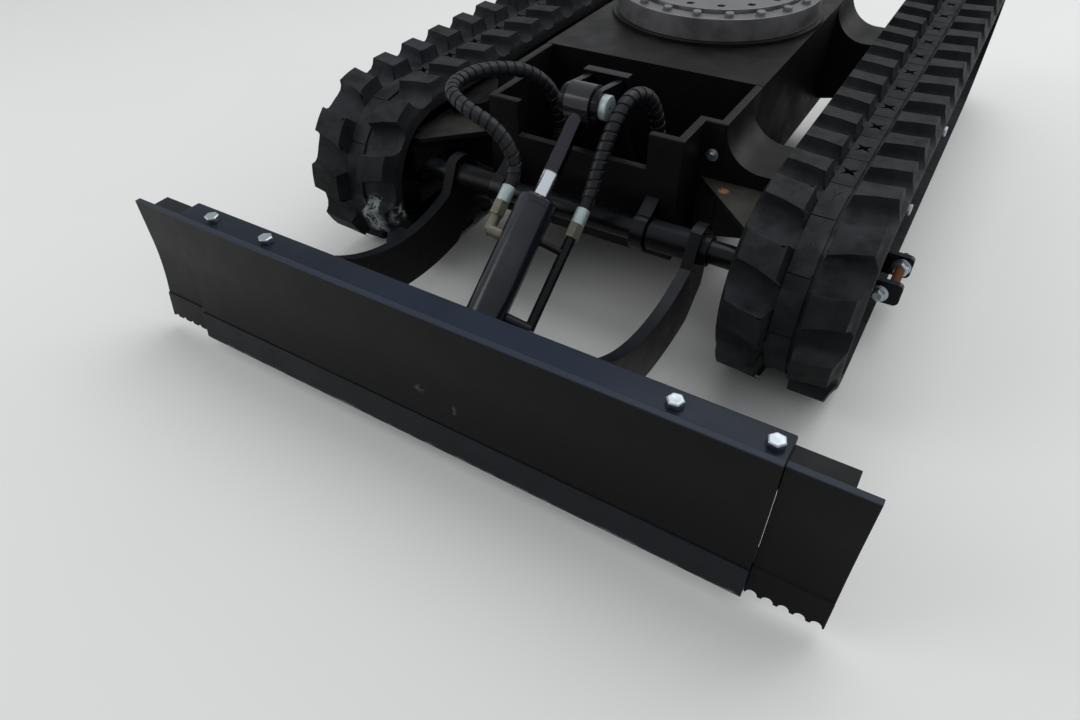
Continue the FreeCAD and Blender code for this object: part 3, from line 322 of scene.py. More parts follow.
@dataclass
class Graph:
    """A short way to add and feed the nodes of one shader tree."""

    tree: bpy.types.NodeTree

    def add(self, kind: str, entries: Mapping[str | int, Entry] | None = None, **settings: object) -> Node:
        """Add a node.

        Args:
            kind: The node's type, without its first word.
            entries: What feeds each input, by the input's name or number.
            settings: The node's own properties.

        Returns:
            The node.
        """
        node = self.tree.nodes.new("ShaderNode" + kind)
        for key, value in settings.items():
            setattr(node, key, value)
        self.feed(node, entries or {})
        return node

    def feed(self, node: Node, entries: Mapping[str | int, Entry]) -> None:
        """Link or set a node's inputs.

        Args:
            node: The node.
            entries: A socket to link or a value to set, by the input's name or number.
        """
        for label, entry in entries.items():
            if isinstance(entry, Socket):
                self.tree.links.new(entry, node.inputs[label])
            else:
                node.inputs[label].default_value = entry

    def group(self, tree: bpy.types.NodeTree, entries: Mapping[str, Entry]) -> bpy.types.NodeOutputs:
        """The outputs of a shared effect, placed here with its own values."""
        return self.add("Group", entries, node_tree=tree).outputs

    def math(self, operation: str, *values: Entry) -> Socket:
        """The result of a Math node."""
        return self.add("Math", dict(enumerate(values)), operation=operation).outputs[0]

    def times(self, first: Entry, second: Entry) -> Socket:
        """Two values multiplied."""
        return self.math("MULTIPLY", first, second)

    def span(self, value: Entry, low: float, high: float, bottom: float = 0, top: float = 1) -> Socket:
        """A value mapped from one range to another, smoothly and held at the ends."""
        entries = dict(enumerate((value, low, high, bottom, top)))
        return self.add("MapRange", entries, interpolation_type="SMOOTHSTEP").outputs[0]

    def noise(self, vector: Entry, scale: Entry, detail: float = 3, rough: float = 0.5) -> Socket:
        """The value of a noise over the piece."""
        entries = {"Vector": vector, "Scale": scale, "Detail": detail, "Roughness": rough}
        return self.add("TexNoise", entries).outputs["Fac"]

    def place(self) -> Socket:
        """The place on the piece."""
        return self.add("TexCoord").outputs["Object"]

    def coordinate(self, axis: int) -> Socket:
        """The place along one axis: 0 for X, 1 for Y or 2 for Z."""
        return self.add("SeparateXYZ", {0: self.place()}).outputs[axis]

    def distance(self, place: Point) -> Socket:
        """How far the piece's surface is from a place given by x, setback and height."""
        return self.add("VectorMath", {0: self.place(), 1: at(*place)}, operation="DISTANCE").outputs["Value"]

    def stretched(self, vector: Entry, scale: Point, turn: Point = (0, 0, 0)) -> Socket:
        """A place stretched and turned, in degrees, for a pattern with a direction."""
        turned = [math.radians(angle) for angle in turn]
        return self.add("Mapping", {"Vector": vector, "Rotation": turned, "Scale": scale}).outputs[0]

    def mix(self, share: Entry, first: Entry, second: Entry) -> Socket:
        """Two colours mixed by a share; a Mix node takes its colours at inputs 6 and 7."""
        return self.add("Mix", {0: share, 6: first, 7: second}, data_type="RGBA").outputs[2]

    def blend(self, share: Entry, first: Entry, second: Entry) -> Socket:
        """Two numbers mixed by a share; a Mix node takes its numbers at inputs 2 and 3."""
        return self.add("Mix", {0: share, 2: first, 3: second}, data_type="FLOAT").outputs[0]


def rgba(colour: Colour) -> tuple[float, float, float, float]:
    """A colour with full alpha."""
    return (*colour, 1.0)


def started(name: str) -> tuple[Material, Graph, Node]:
    """Start a material.

    Args:
        name: The material's name.

    Returns:
        The material, its graph and its shader.
    """
    material = bpy.data.materials.new(name)
    material.use_nodes = True
    return material, Graph(material.node_tree), material.node_tree.nodes["Principled BSDF"]


class Effects:
    """Shader groups that several finishes use."""

    def __init__(self) -> None:
        """Build every group once."""
        self.dirt_and_sheen = self._dirt_and_sheen()
        self.mottle = self._mottle()
        self.scratches = self._scratches()
        self.grain = self._grain()

    @staticmethod
    def _group(
        name: str, inputs: Mapping[str, str], outputs: Mapping[str, str]
    ) -> tuple[Graph, bpy.types.NodeOutputs, Node]:
        """Start a shader group.

        Args:
            name: The group's name.
            inputs: The kind of each input, by name.
            outputs: The kind of each output, by name.

        Returns:
            The group's graph, what its inputs give and the node that takes its outputs.
        """
        tree = bpy.data.node_groups.new(name, "ShaderNodeTree")
        for direction, sockets in (("INPUT", inputs), ("OUTPUT", outputs)):
            for label, kind in sockets.items():
                tree.interface.new_socket(label, in_out=direction, socket_type="NodeSocket" + kind)
        return Graph(tree), tree.nodes.new("NodeGroupInput").outputs, tree.nodes.new("NodeGroupOutput")

    def _dirt_and_sheen(self) -> bpy.types.NodeTree:
        """Build the film that lies on faces that look up, broken by noise: dust on most finishes, and a
        painted sky sheen that lightens the tops of the blade, the cylinder barrel and the gloss black paint.

        Returns:
            The group.
        """
        graph, given, sink = self._group(
            "Dust film",
            {
                "Color": "Color", "Dirt and sheen": "Color", "Amount": "Float", "Scale": "Float",
                "Roughness": "Float", "Dust roughness": "Float", "Everywhere": "Float",
            },
            {"Color": "Color", "Roughness": "Float"},
        )
        normal = graph.add("TexCoord").outputs["Normal"]
        upward = graph.span(graph.add("SeparateXYZ", {0: normal}).outputs[2], 0.1, 0.95)
        coverage = graph.math("MAXIMUM", upward, given["Everywhere"])
        cloud = graph.noise(graph.place(), given["Scale"], 5, 0.62)
        mask = graph.times(graph.times(coverage, graph.span(cloud, 0.3, 0.75)), given["Amount"])
        graph.feed(sink, {
            "Color": graph.mix(mask, given["Color"], given["Dirt and sheen"]),
            "Roughness": graph.blend(mask, given["Roughness"], given["Dust roughness"]),
        })
        return graph.tree

    def _mottle(self) -> bpy.types.NodeTree:
        """Build a colour made a little lighter and darker in clouds of two sizes.

        Returns:
            The group.
        """
        inputs = {"Color": "Color", "Variation": "Float", "Scale": "Float"}
        graph, given, sink = self._group("Mottle", inputs, {"Color": "Color"})
        place = graph.place()
        wide = graph.noise(place, given["Scale"], 2)
        fine = graph.noise(place, graph.times(given["Scale"], 7.0), 3, 0.6)
        cloud = graph.math("ADD", graph.times(wide, 0.6), graph.times(fine, 0.4))
        swing = graph.times(graph.math("SUBTRACT", cloud, 0.5), given["Variation"])
        lift = graph.math("ADD", graph.times(swing, 4.0), 1.0)
        scaled = graph.add("VectorMath", operation="SCALE")
        graph.feed(scaled, {0: given["Color"], "Scale": lift})
        graph.feed(sink, {"Color": scaled.outputs[0]})
        return graph.tree

    def _scratches(self) -> bpy.types.NodeTree:
        """Build short fine scratches in two directions.

        Returns:
            The group.
        """
        graph, given, sink = self._group("Fine scratches", {"Density": "Float"}, {"Mask": "Float"})
        place = graph.place()
        lines = []
        for turn, stretch in (((0, 12, 20), (14, 900, 900)), ((0, 65, -35), (22, 700, 700))):
            line = graph.noise(graph.stretched(place, stretch, turn), 1.0, 1)
            lines.append(graph.span(line, 0.70, 0.78))
        patch = graph.span(graph.noise(place, 9.0, 2), 0.48, 0.66)
        mask = graph.times(graph.times(graph.math("MAXIMUM", *lines), patch), given["Density"])
        graph.feed(sink, {"Mask": mask})
        return graph.tree

    def _grain(self) -> bpy.types.NodeTree:
        """Build the height of a fine grain with sparse pits.

        Returns:
            The group.
        """
        inputs = {"Scale": "Float", "Pits": "Float"}
        graph, given, sink = self._group("Surface grain", inputs, {"Height": "Float"})
        place = graph.place()
        grain = graph.noise(place, given["Scale"], 3, 0.6)
        coarse = graph.noise(place, graph.times(given["Scale"], 0.13), 3)
        pit = graph.times(graph.span(coarse, 0.62, 0.72), given["Pits"])
        graph.feed(sink, {"Height": graph.math("SUBTRACT", grain, pit)})
        return graph.tree


@dataclass(frozen=True)
class Spot:
    """A mark round a place given by x, setback and height: broken patches, or fine threads.

    A patch shows where a noise is above the threshold. With threads above 0, the mark follows the
    noise's middle line instead, as a web whose threads are that wide.
    """

    place: Point
    radius: float
    colour: Colour
    scale: float
    threshold: float = 0.5
    threads: float = 0.0
    core: float = 0.3
    softness: float = 0.08

    def mask(self, graph: Graph) -> Socket:
        """Draw where the mark shows.

        Args:
            graph: The material's graph.

        Returns:
            The mark's mask.
        """
        reach = self.radius * MM
        near = graph.span(graph.distance(self.place), reach * self.core, reach, 1, 0)
        cloud = graph.noise(graph.place(), self.scale, 6, 0.7)
        if self.threads:
            off_thread = graph.math("ABSOLUTE", graph.math("SUBTRACT", cloud, 0.5))
            broken = graph.span(off_thread, self.threads, self.threads * 3, 1, 0)
        else:
            broken = graph.span(cloud, self.threshold, self.threshold + self.softness)
        return graph.times(near, broken)


@dataclass(frozen=True)
class Finish:
    """A finish: base colour, a film on faces that look up (dust, and on some finishes a painted sky sheen),
    scratches and grain over one shader.

    The shader's even numbers are set on its sockets, and only what varies over the surface is linked.
    """

    name: str
    colour: Colour
    roughness: float
    metallic: float = 0.0
    specular: float = 0.5
    coat: float = 0.0
    coat_roughness: float = 0.08
    variation: float = 0.15
    cloud_scale: float = 9.0
    # The film on faces that look up: dust, and on the blade, barrel and gloss black paint a painted sky
    # sheen.
    dirt_and_sheen: Colour = (0.16, 0.155, 0.145)
    dirt_and_sheen_amount: float = 0.25
    dirt_and_sheen_scale: float = 16.0
    dirt_and_sheen_roughness: float = 0.85
    dirt_and_sheen_everywhere: float = 0.0
    scratch: Colour = (0.12, 0.12, 0.125)
    scratch_density: float = 0.0
    grain_scale: float = 420.0
    grain_depth: float = 0.02
    pits: float = 0.0
    spots: tuple[Spot, ...] = ()

    def build(self, effects: Effects) -> Material:
        """Make the material.

        Args:
            effects: The shared shader groups.

        Returns:
            The material, with its nodes.
        """
        material, graph, shader = started(self.name)
        material.diffuse_color = rgba(self.colour)
        base = graph.group(effects.mottle, {
            "Color": rgba(self.colour), "Variation": self.variation, "Scale": self.cloud_scale,
        })["Color"]
        if self.scratch_density:
            scratches = graph.group(effects.scratches, {"Density": self.scratch_density})
            base = graph.mix(scratches["Mask"], base, rgba(self.scratch))
        for mask, tone in self.layers(graph):
            base = graph.mix(mask, base, rgba(tone))
        # Dust, and on some finishes a painted sky sheen, over the faces that look up.
        filmed = graph.group(effects.dirt_and_sheen, {
            "Color": base, "Dirt and sheen": rgba(self.dirt_and_sheen), "Amount": self.dirt_and_sheen_amount, "Scale": self.dirt_and_sheen_scale,
            "Roughness": self._uneven(graph), "Dust roughness": self.dirt_and_sheen_roughness,
            "Everywhere": self.dirt_and_sheen_everywhere,
        })
        grain = graph.group(effects.grain, {"Scale": self.grain_scale, "Pits": self.pits})
        bump = graph.add("Bump", {"Distance": self.grain_depth * MM, "Height": grain["Height"]})
        graph.feed(shader, {
            "Specular IOR Level": self.specular, "Coat Weight": self.coat,
            "Coat Roughness": self.coat_roughness, "Base Color": filmed["Color"],
            "Roughness": filmed["Roughness"], "Normal": bump.outputs["Normal"],
            "Metallic": self.metal(graph),
        })
        return material

    def _uneven(self, graph: Graph) -> Socket:
        """The roughness, a little uneven."""
        cloud = graph.noise(graph.place(), self.cloud_scale * 2.3, 4, 0.6)
        return graph.span(cloud, 0.25, 0.75, self.roughness * 0.8, min(1.0, self.roughness * 1.25))

    def metal(self, graph: Graph) -> Entry:
        """How metallic the surface is."""
        return self.metallic

    def layers(self, graph: Graph) -> Iterator[Layer]:
        """What lies over the base colour, from below: where it shows, and its colour."""
        for spot in self.spots:
            yield spot.mask(graph), spot.colour


@dataclass(frozen=True)
class WornEdge(Finish):
    """Steel whose paint is rubbed off in a ragged band along its lowest edge."""

    worn: Colour = (0.17, 0.165, 0.16)
    wear: float = 0.75
    wear_height: float = 27.0
    wear_fade: float = 4.0
    ragged_depth: float = 14.0
    ragged_scale: float = 38.0
    ragged_stretch: Point = (1, 1, 0.35)

    def layers(self, graph: Graph) -> Iterator[Layer]:
        """Bare steel near the ground.

        Args:
            graph: The material's graph.

        Yields:
            The band's mask and colour.
        """
        ragged = graph.noise(graph.stretched(graph.place(), self.ragged_stretch), self.ragged_scale, 5, 0.65)
        level = graph.math("ADD", graph.coordinate(2), graph.times(ragged, self.ragged_depth * MM))
        band = graph.span(level, self.wear_height * MM, (self.wear_height + self.wear_fade) * MM, 1, 0)
        yield graph.times(band, self.wear), self.worn


@dataclass(frozen=True)
class CrestHighlightPaint(Finish):
    """Paint with a painted highlight along its level top edge, in a lighter blue-grey."""

    crest_height: float = 219.2
    crest_fade: float = 0.8
    # The colour of the painted highlight along the top edge.
    crest: Colour = (0.024, 0.032, 0.046)

    def layers(self, graph: Graph) -> Iterator[Layer]:
        """The spots, and over them the painted highlight along the top edge.

        Args:
            graph: The material's graph.

        Yields:
            Each mask and colour, from below.
        """
        yield from super().layers(graph)
        start, end = self.crest_height - self.crest_fade, self.crest_height
        yield graph.span(graph.coordinate(2), start * MM, end * MM), self.crest


@dataclass(frozen=True)
class SeamedTube(Finish):
    """Paint on a tube with a fine dark seam along its upper side."""

    seam_x: float = -3.5
    seam_half: float = 0.7
    seam: Colour = (0.002, 0.002, 0.003)

    def layers(self, graph: Graph) -> Iterator[Layer]:
        """The seam.

        Args:
            graph: The material's graph.

        Yields:
            The seam's mask and colour.
        """
        half = self.seam_half * MM
        offset = graph.math("ABSOLUTE", graph.math("SUBTRACT", graph.coordinate(0), self.seam_x * MM))
        yield graph.span(offset, half * 0.5, half * 1.6, 1, 0), self.seam


@dataclass(frozen=True)
class RodChrome(Finish):
    """Chrome that is bright near the barrel, darkened above it by a painted dark reflection, and painted
    black at the eye.
    """

    # The colour of the painted dark reflection on the chrome above the barrel.
    painted_dark_reflection: Colour = (0.05, 0.05, 0.06)
    paint: Colour = (0.012, 0.012, 0.014)
    bright_chrome_to: float = 290.0
    dark_reflection_from: float = 293.0
    eye_from: float = 371.0
    eye_fade: float = 0.8

    def _painted(self, graph: Graph) -> Socket:
        """Where the eye's paint covers the chrome."""
        start, end = self.eye_from - self.eye_fade, self.eye_from + self.eye_fade
        return graph.span(graph.distance(BASE_PIN), start * MM, end * MM)

    def metal(self, graph: Graph) -> Entry:
        """Metal everywhere but under the eye's paint."""
        return graph.math("SUBTRACT", 1.0, self._painted(graph))

    def layers(self, graph: Graph) -> Iterator[Layer]:
        """The painted dark reflection above the barrel, and over it the eye's paint."""
        yield graph.span(graph.distance(BASE_PIN), self.bright_chrome_to * MM, self.dark_reflection_from * MM), self.painted_dark_reflection
        yield self._painted(graph), self.paint


@dataclass(frozen=True)
class SpottedRust(Finish):
    """A finish with rust in spots or all over."""

    rust: Colour = (0.17, 0.062, 0.022)
    rust_amount: float = 0.5
    rust_scale: float = 60.0
    rust_fade: float = 0.12

    def layers(self, graph: Graph) -> Iterator[Layer]:
        """Rust where a noise is high.

        Args:
            graph: The material's graph.

        Yields:
            The rust's mask and colour.
        """
        edge = (1 - self.rust_amount) * 0.75
        cloud = graph.noise(graph.place(), self.rust_scale, 6, 0.7)
        yield graph.span(cloud, edge, edge + self.rust_fade), self.rust


class Shop:
    """Every finish of the object, each made once."""

    def __init__(self) -> None:
        """Build the shared groups and the materials."""
        self.effects = Effects()
        # A pale bluish film on faces that look up: a painted sky sheen that lightens the tops of the blade's
        # pieces and of the gloss black paint.
        painted_sky_sheen = (0.032, 0.040, 0.054)
        scuff = (0.05, 0.049, 0.047)
        glare = (0.3, 0.35, 0.37)
        blade = {
            "colour": (0.0036, 0.0034, 0.0034), "roughness": 0.3, "specular": 0.1, "dirt_and_sheen": painted_sky_sheen,
            "dirt_and_sheen_amount": 0.4, "dirt_and_sheen_scale": 5, "dirt_and_sheen_roughness": 0.4, "dirt_and_sheen_everywhere": 0.04,
            "scratch": (0.03, 0.029, 0.028), "scratch_density": 0.22, "grain_scale": 240,
            "grain_depth": 0.014,
        }
        self.paint = self._made(Finish(
            "gloss_black_paint", (0.0035, 0.0036, 0.0045), 0.24, specular=0.14, coat=0.05, dirt_and_sheen=painted_sky_sheen,
            scratch_density=0.2, grain_scale=260, grain_depth=0.012,
        ))
        self.frame_paint = self._made(Finish(
            "frame_black_paint", (0.0035, 0.0035, 0.0042), 0.4, specular=0.14, dirt_and_sheen=(0.06, 0.058, 0.054),
            dirt_and_sheen_amount=0.16, dirt_and_sheen_everywhere=0.1, scratch_density=0.12, grain_scale=300,
        ))
        self.dusty_paint = self._made(Finish(
            "dusty_black_paint", (0.005, 0.005, 0.0057), 0.42, specular=0.16, dirt_and_sheen=(0.062, 0.059, 0.053),
            dirt_and_sheen_amount=0.7, dirt_and_sheen_everywhere=0.08, dirt_and_sheen_scale=11, scratch_density=0.2, grain_scale=300,
            spots=(Spot((196, 436, 220), 10, (0.36, 0.15, 0.045), 150, 0.4),),
        ))
        self.blade_paint = self._made(Finish("blade_black_paint", **blade))
        # The wings and the mouldboard carry a painted highlight along their top edges.
        self.wing_paint = self._made(CrestHighlightPaint("wing_black_paint", **blade, crest_height=213.2))
        self.face_paint = self._made(CrestHighlightPaint("mouldboard_black_paint", **blade | {
            "dirt_and_sheen_amount": 0.3,
            "spots": (Spot((-12, 14, 102), 9, scuff, 110, 0.46), Spot((36, 13, 92), 11, scuff, 90, 0.48)),
        }))
        # The blade's top box: its blue tint and its strong bluish film are a painted sky reflection on black
        # paint.
        self.top_paint = self._made(Finish("blade_top_black_paint_with_sky_sheen", **blade | {
            "colour": (0.0062, 0.0105, 0.019), "roughness": 0.28, "specular": 0.14,
            "dirt_and_sheen": (0.018, 0.032, 0.06), "dirt_and_sheen_amount": 0.5, "dirt_and_sheen_everywhere": 0.2,
            "scratch": (0.05, 0.055, 0.065), "scratch_density": 0.3,
        }))
        # The barrel's blue tint and its glossy bluish film are a painted sky sheen on black paint.
        self.barrel_paint = self._made(SeamedTube(
            "cylinder_black_paint", (0.0055, 0.007, 0.0105), 0.2, specular=0.3, coat=0.2,
            dirt_and_sheen=(0.038, 0.047, 0.064), dirt_and_sheen_amount=0.5, dirt_and_sheen_scale=9, dirt_and_sheen_roughness=0.3,
            dirt_and_sheen_everywhere=0.15, scratch_density=0.3, grain_depth=0.01,
        ))
        self.edge = self._made(WornEdge(
            "cutting_edge_steel", (0.0062, 0.0082, 0.0105), 0.4, specular=0.14, dirt_and_sheen=(0.024, 0.03, 0.037),
            dirt_and_sheen_amount=0.35, dirt_and_sheen_scale=7, dirt_and_sheen_everywhere=0.5, scratch=(0.04, 0.045, 0.05),
            scratch_density=0.6, grain_depth=0.04, pits=0.6,
        ))
        self.rubber = self._made(Finish(
            "track_rubber", (0.0062, 0.0067, 0.0077), 0.62, specular=0.16, variation=0.3, cloud_scale=22,
            dirt_and_sheen=(0.036, 0.041, 0.047), dirt_and_sheen_amount=0.8, dirt_and_sheen_scale=26, dirt_and_sheen_everywhere=0.28,
            scratch=(0.035, 0.037, 0.04), scratch_density=0.5, grain_scale=900, grain_depth=0.08, pits=0.8,
            spots=(
                Spot((-296, 284, 117), 38, (0.4, 0.46, 0.48), 26, threads=0.02),
                Spot((-300, 282, 118), 15, (0.34, 0.4, 0.42), 90, 0.46),
                Spot((-320, 262, 130), 22, glare, 34, threads=0.02),
                Spot((-262, 286, 125), 22, glare, 34, threads=0.02),
                Spot((368, 336, 243), 24, (0.075, 0.083, 0.09), 30, 0.4),
            ),
        ))
        self.hose = self._made(Finish(
            "hose_rubber", (0.005, 0.005, 0.0057), 0.5, specular=0.2, dirt_and_sheen=(0.05, 0.052, 0.055),
            dirt_and_sheen_amount=0.3, dirt_and_sheen_everywhere=0.1, grain_scale=1200, grain_depth=0.03,
        ))
        self.guard = self._made(Finish(
            "spiral_guard_plastic", (0.0062, 0.0067, 0.0085), 0.34, specular=0.26, variation=0.3,
            cloud_scale=45, dirt_and_sheen=(0.032, 0.037, 0.045), dirt_and_sheen_amount=0.5, dirt_and_sheen_scale=60, dirt_and_sheen_everywhere=0.12,
            grain_scale=900,
        ))
        self.chrome = self._made(RodChrome(
            "rod_chrome", (0.82, 0.88, 0.95), 0.16, metallic=1, variation=0.02, dirt_and_sheen_amount=0.03,
            scratch=(0.5, 0.5, 0.5), scratch_density=0.12, grain_depth=0.002,
        ))
        self.zinc = self._made(Finish(
            "zinc_plate", (0.44, 0.49, 0.53), 0.34, metallic=1, variation=0.12, cloud_scale=60,
            dirt_and_sheen=(0.34, 0.35, 0.35), dirt_and_sheen_amount=0.18, grain_scale=700, grain_depth=0.01,
        ))
        self.dull_zinc = self._made(Finish(
            "dull_zinc_plate", (0.2, 0.205, 0.21), 0.5, metallic=0.9, variation=0.25, cloud_scale=60,
            dirt_and_sheen=(0.13, 0.125, 0.115), dirt_and_sheen_amount=0.4, grain_scale=700, grain_depth=0.01,
        ))
        self.pale_zinc = self._made(Finish(
            "pale_zinc_ferrule", (0.36, 0.44, 0.44), 0.4, metallic=0.55, variation=0.1, cloud_scale=50,
            dirt_and_sheen=(0.2, 0.22, 0.21), dirt_and_sheen_amount=0.2, grain_depth=0.01,
        ))
        self.brass = self._made(Finish(
            "dull_yellow_fittings", (0.13, 0.125, 0.095), 0.44, metallic=0.6, variation=0.3, cloud_scale=70,
            dirt_and_sheen=(0.07, 0.067, 0.055), dirt_and_sheen_amount=0.3,
        ))
        self.steel = self._made(Finish(
            "machined_steel", (0.2, 0.2, 0.205), 0.4, metallic=0.9, cloud_scale=14, dirt_and_sheen_amount=0.3,
            scratch=(0.4, 0.4, 0.4), scratch_density=0.5, grain_depth=0.01,
        ))
        self.rust = self._made(SpottedRust(
            "rusty_thread", (0.12, 0.05, 0.025), 0.82, metallic=0.1, rust_amount=0.75, variation=0.4,
            cloud_scale=90, dirt_and_sheen_amount=0.1, grain_scale=1500, grain_depth=0.15, pits=1,
        ))

    def _made(self, finish: Finish) -> Material:
        """The material of one finish."""
        return finish.build(self.effects)


class Lamp(NamedTuple):
    """A square soft lamp: its place and size in metres, and its power in watts."""

    name: str
    place: Point
    size: float
    power: float


@dataclass
class Studio:
    """Camera, floor and soft light."""

    camera_place: Point = (454.3, -1181.2, 737.3)
    azimuth: float = 32.6
    elevation: float = 43.1
    roll: float = -1.6
    lens: float = 24.53
    sensor: float = 36.0
    floor_size: float = 40.0
    floor_drop: float = 0.0005
    floor_colour: Colour = (0.74, 0.74, 0.73)
    floor_lift: float = 1.03
    lamps: Sequence[Lamp] = (
        Lamp("overhead", (0.3, 0.9, 3.2), 2.6, 48.0),
        Lamp("front", (-2.6, -2.4, 2.2), 2.0, 30.0),
        Lamp("rear", (2.2, 3.0, 2.0), 2.0, 24.0),
    )
    lit_point: Point = (0, 0, 0.1)
    world_colour: Colour = (0.86, 0.88, 0.9)
    world_strength: float = 0.62

    def build(self) -> None:
        """Make the camera, the floor, the lamps and the world."""
        self._camera()
        self._floor()
        for lamp in self.lamps:
            self._lamp(lamp)
        self._world()
        bpy.context.scene.view_settings.view_transform = "Standard"

    def _camera(self) -> None:
        """Stand the camera at the photograph's place and angle."""
        a, e, r = (math.radians(angle) for angle in (self.azimuth, self.elevation, self.roll))
        back = Vector((math.sin(a) * math.cos(e), -math.cos(a) * math.cos(e), math.sin(e)))
        right = Vector((math.cos(a), math.sin(a), 0))
        turned = right * math.cos(r) + back.cross(right) * math.sin(r)
        data = bpy.data.cameras.new("camera")
        data.lens = self.lens
        data.sensor_width = self.sensor
        data.clip_start, data.clip_end = 0.01, 100.0
        camera = Bench.linked("camera", data)
        axes = Matrix((turned, back.cross(turned), back)).transposed().to_4x4()
        camera.matrix_world = Matrix.Translation(Vector(self.camera_place) * MM) @ axes
        bpy.context.scene.camera = camera

    def _floor(self) -> None:
        """Lay a wide pale floor just under the tracks."""
        Bench.clear()
        bpy.ops.mesh.primitive_plane_add(size=self.floor_size, location=(0, 0, -self.floor_drop))
        floor = Bench.settle(bpy.context.object, "floor")
        material, graph, shader = started("pale_floor")
        lighter = tuple(part * self.floor_lift for part in self.floor_colour)
        cloud = graph.noise(graph.place(), 3.0, 4)
        graph.feed(shader, {
            "Roughness": 0.9, "Specular IOR Level": 0.1,
            "Base Color": graph.mix(cloud, rgba(self.floor_colour), rgba(lighter)),
        })
        floor.data.materials.append(material)

    def _lamp(self, lamp: Lamp) -> None:
        """Hang one lamp, turned to the object.

        Args:
            lamp: What the lamp is like.
        """
        data = bpy.data.lights.new(lamp.name, "AREA")
        data.shape = "SQUARE"
        data.size = lamp.size
        data.energy = lamp.power
        place = Vector(lamp.place)
        Bench.linked(lamp.name, data).matrix_world = Bench.facing(place, place - Vector(self.lit_point))

    def _world(self) -> None:
        """Give the scene an even pale surround."""
        world = bpy.data.worlds.new("world")
        bpy.context.scene.world = world
        world.use_nodes = True
        sky = world.node_tree.nodes["Background"]
        sky.inputs["Color"].default_value = rgba(self.world_colour)
        sky.inputs["Strength"].default_value = self.world_strength


def along(distance: float, side: float = 0.0, lift: float = 0.0) -> Point:
    """The x, setback and height of a point beside the cylinder.

    Args:
        distance: From the base pin towards the rod's eye.
        side: Offset along X.
        lift: Offset above the cylinder's axis.

    Returns:
        The point in millimetres.
    """
    run = math.cos(SLOPE) * distance - math.sin(SLOPE) * lift
    rise = math.sin(SLOPE) * distance + math.cos(SLOPE) * lift
    return (side, BASE_PIN[1] + run, BASE_PIN[2] + rise)


class Way(NamedTuple):
    """A hose's middle line: how far along each point lies, the point, its direction and a normal."""

    reach: np.ndarray
    points: np.ndarray
    tangents: np.ndarray
    normals: np.ndarray

    def frame(self, reach: float) -> Iterator[np.ndarray]:
        """The point, direction and normal at a distance along the line."""
        for values in self[1:]:
            yield np.array([np.interp(reach, self.reach, values[:, axis]) for axis in range(3)])


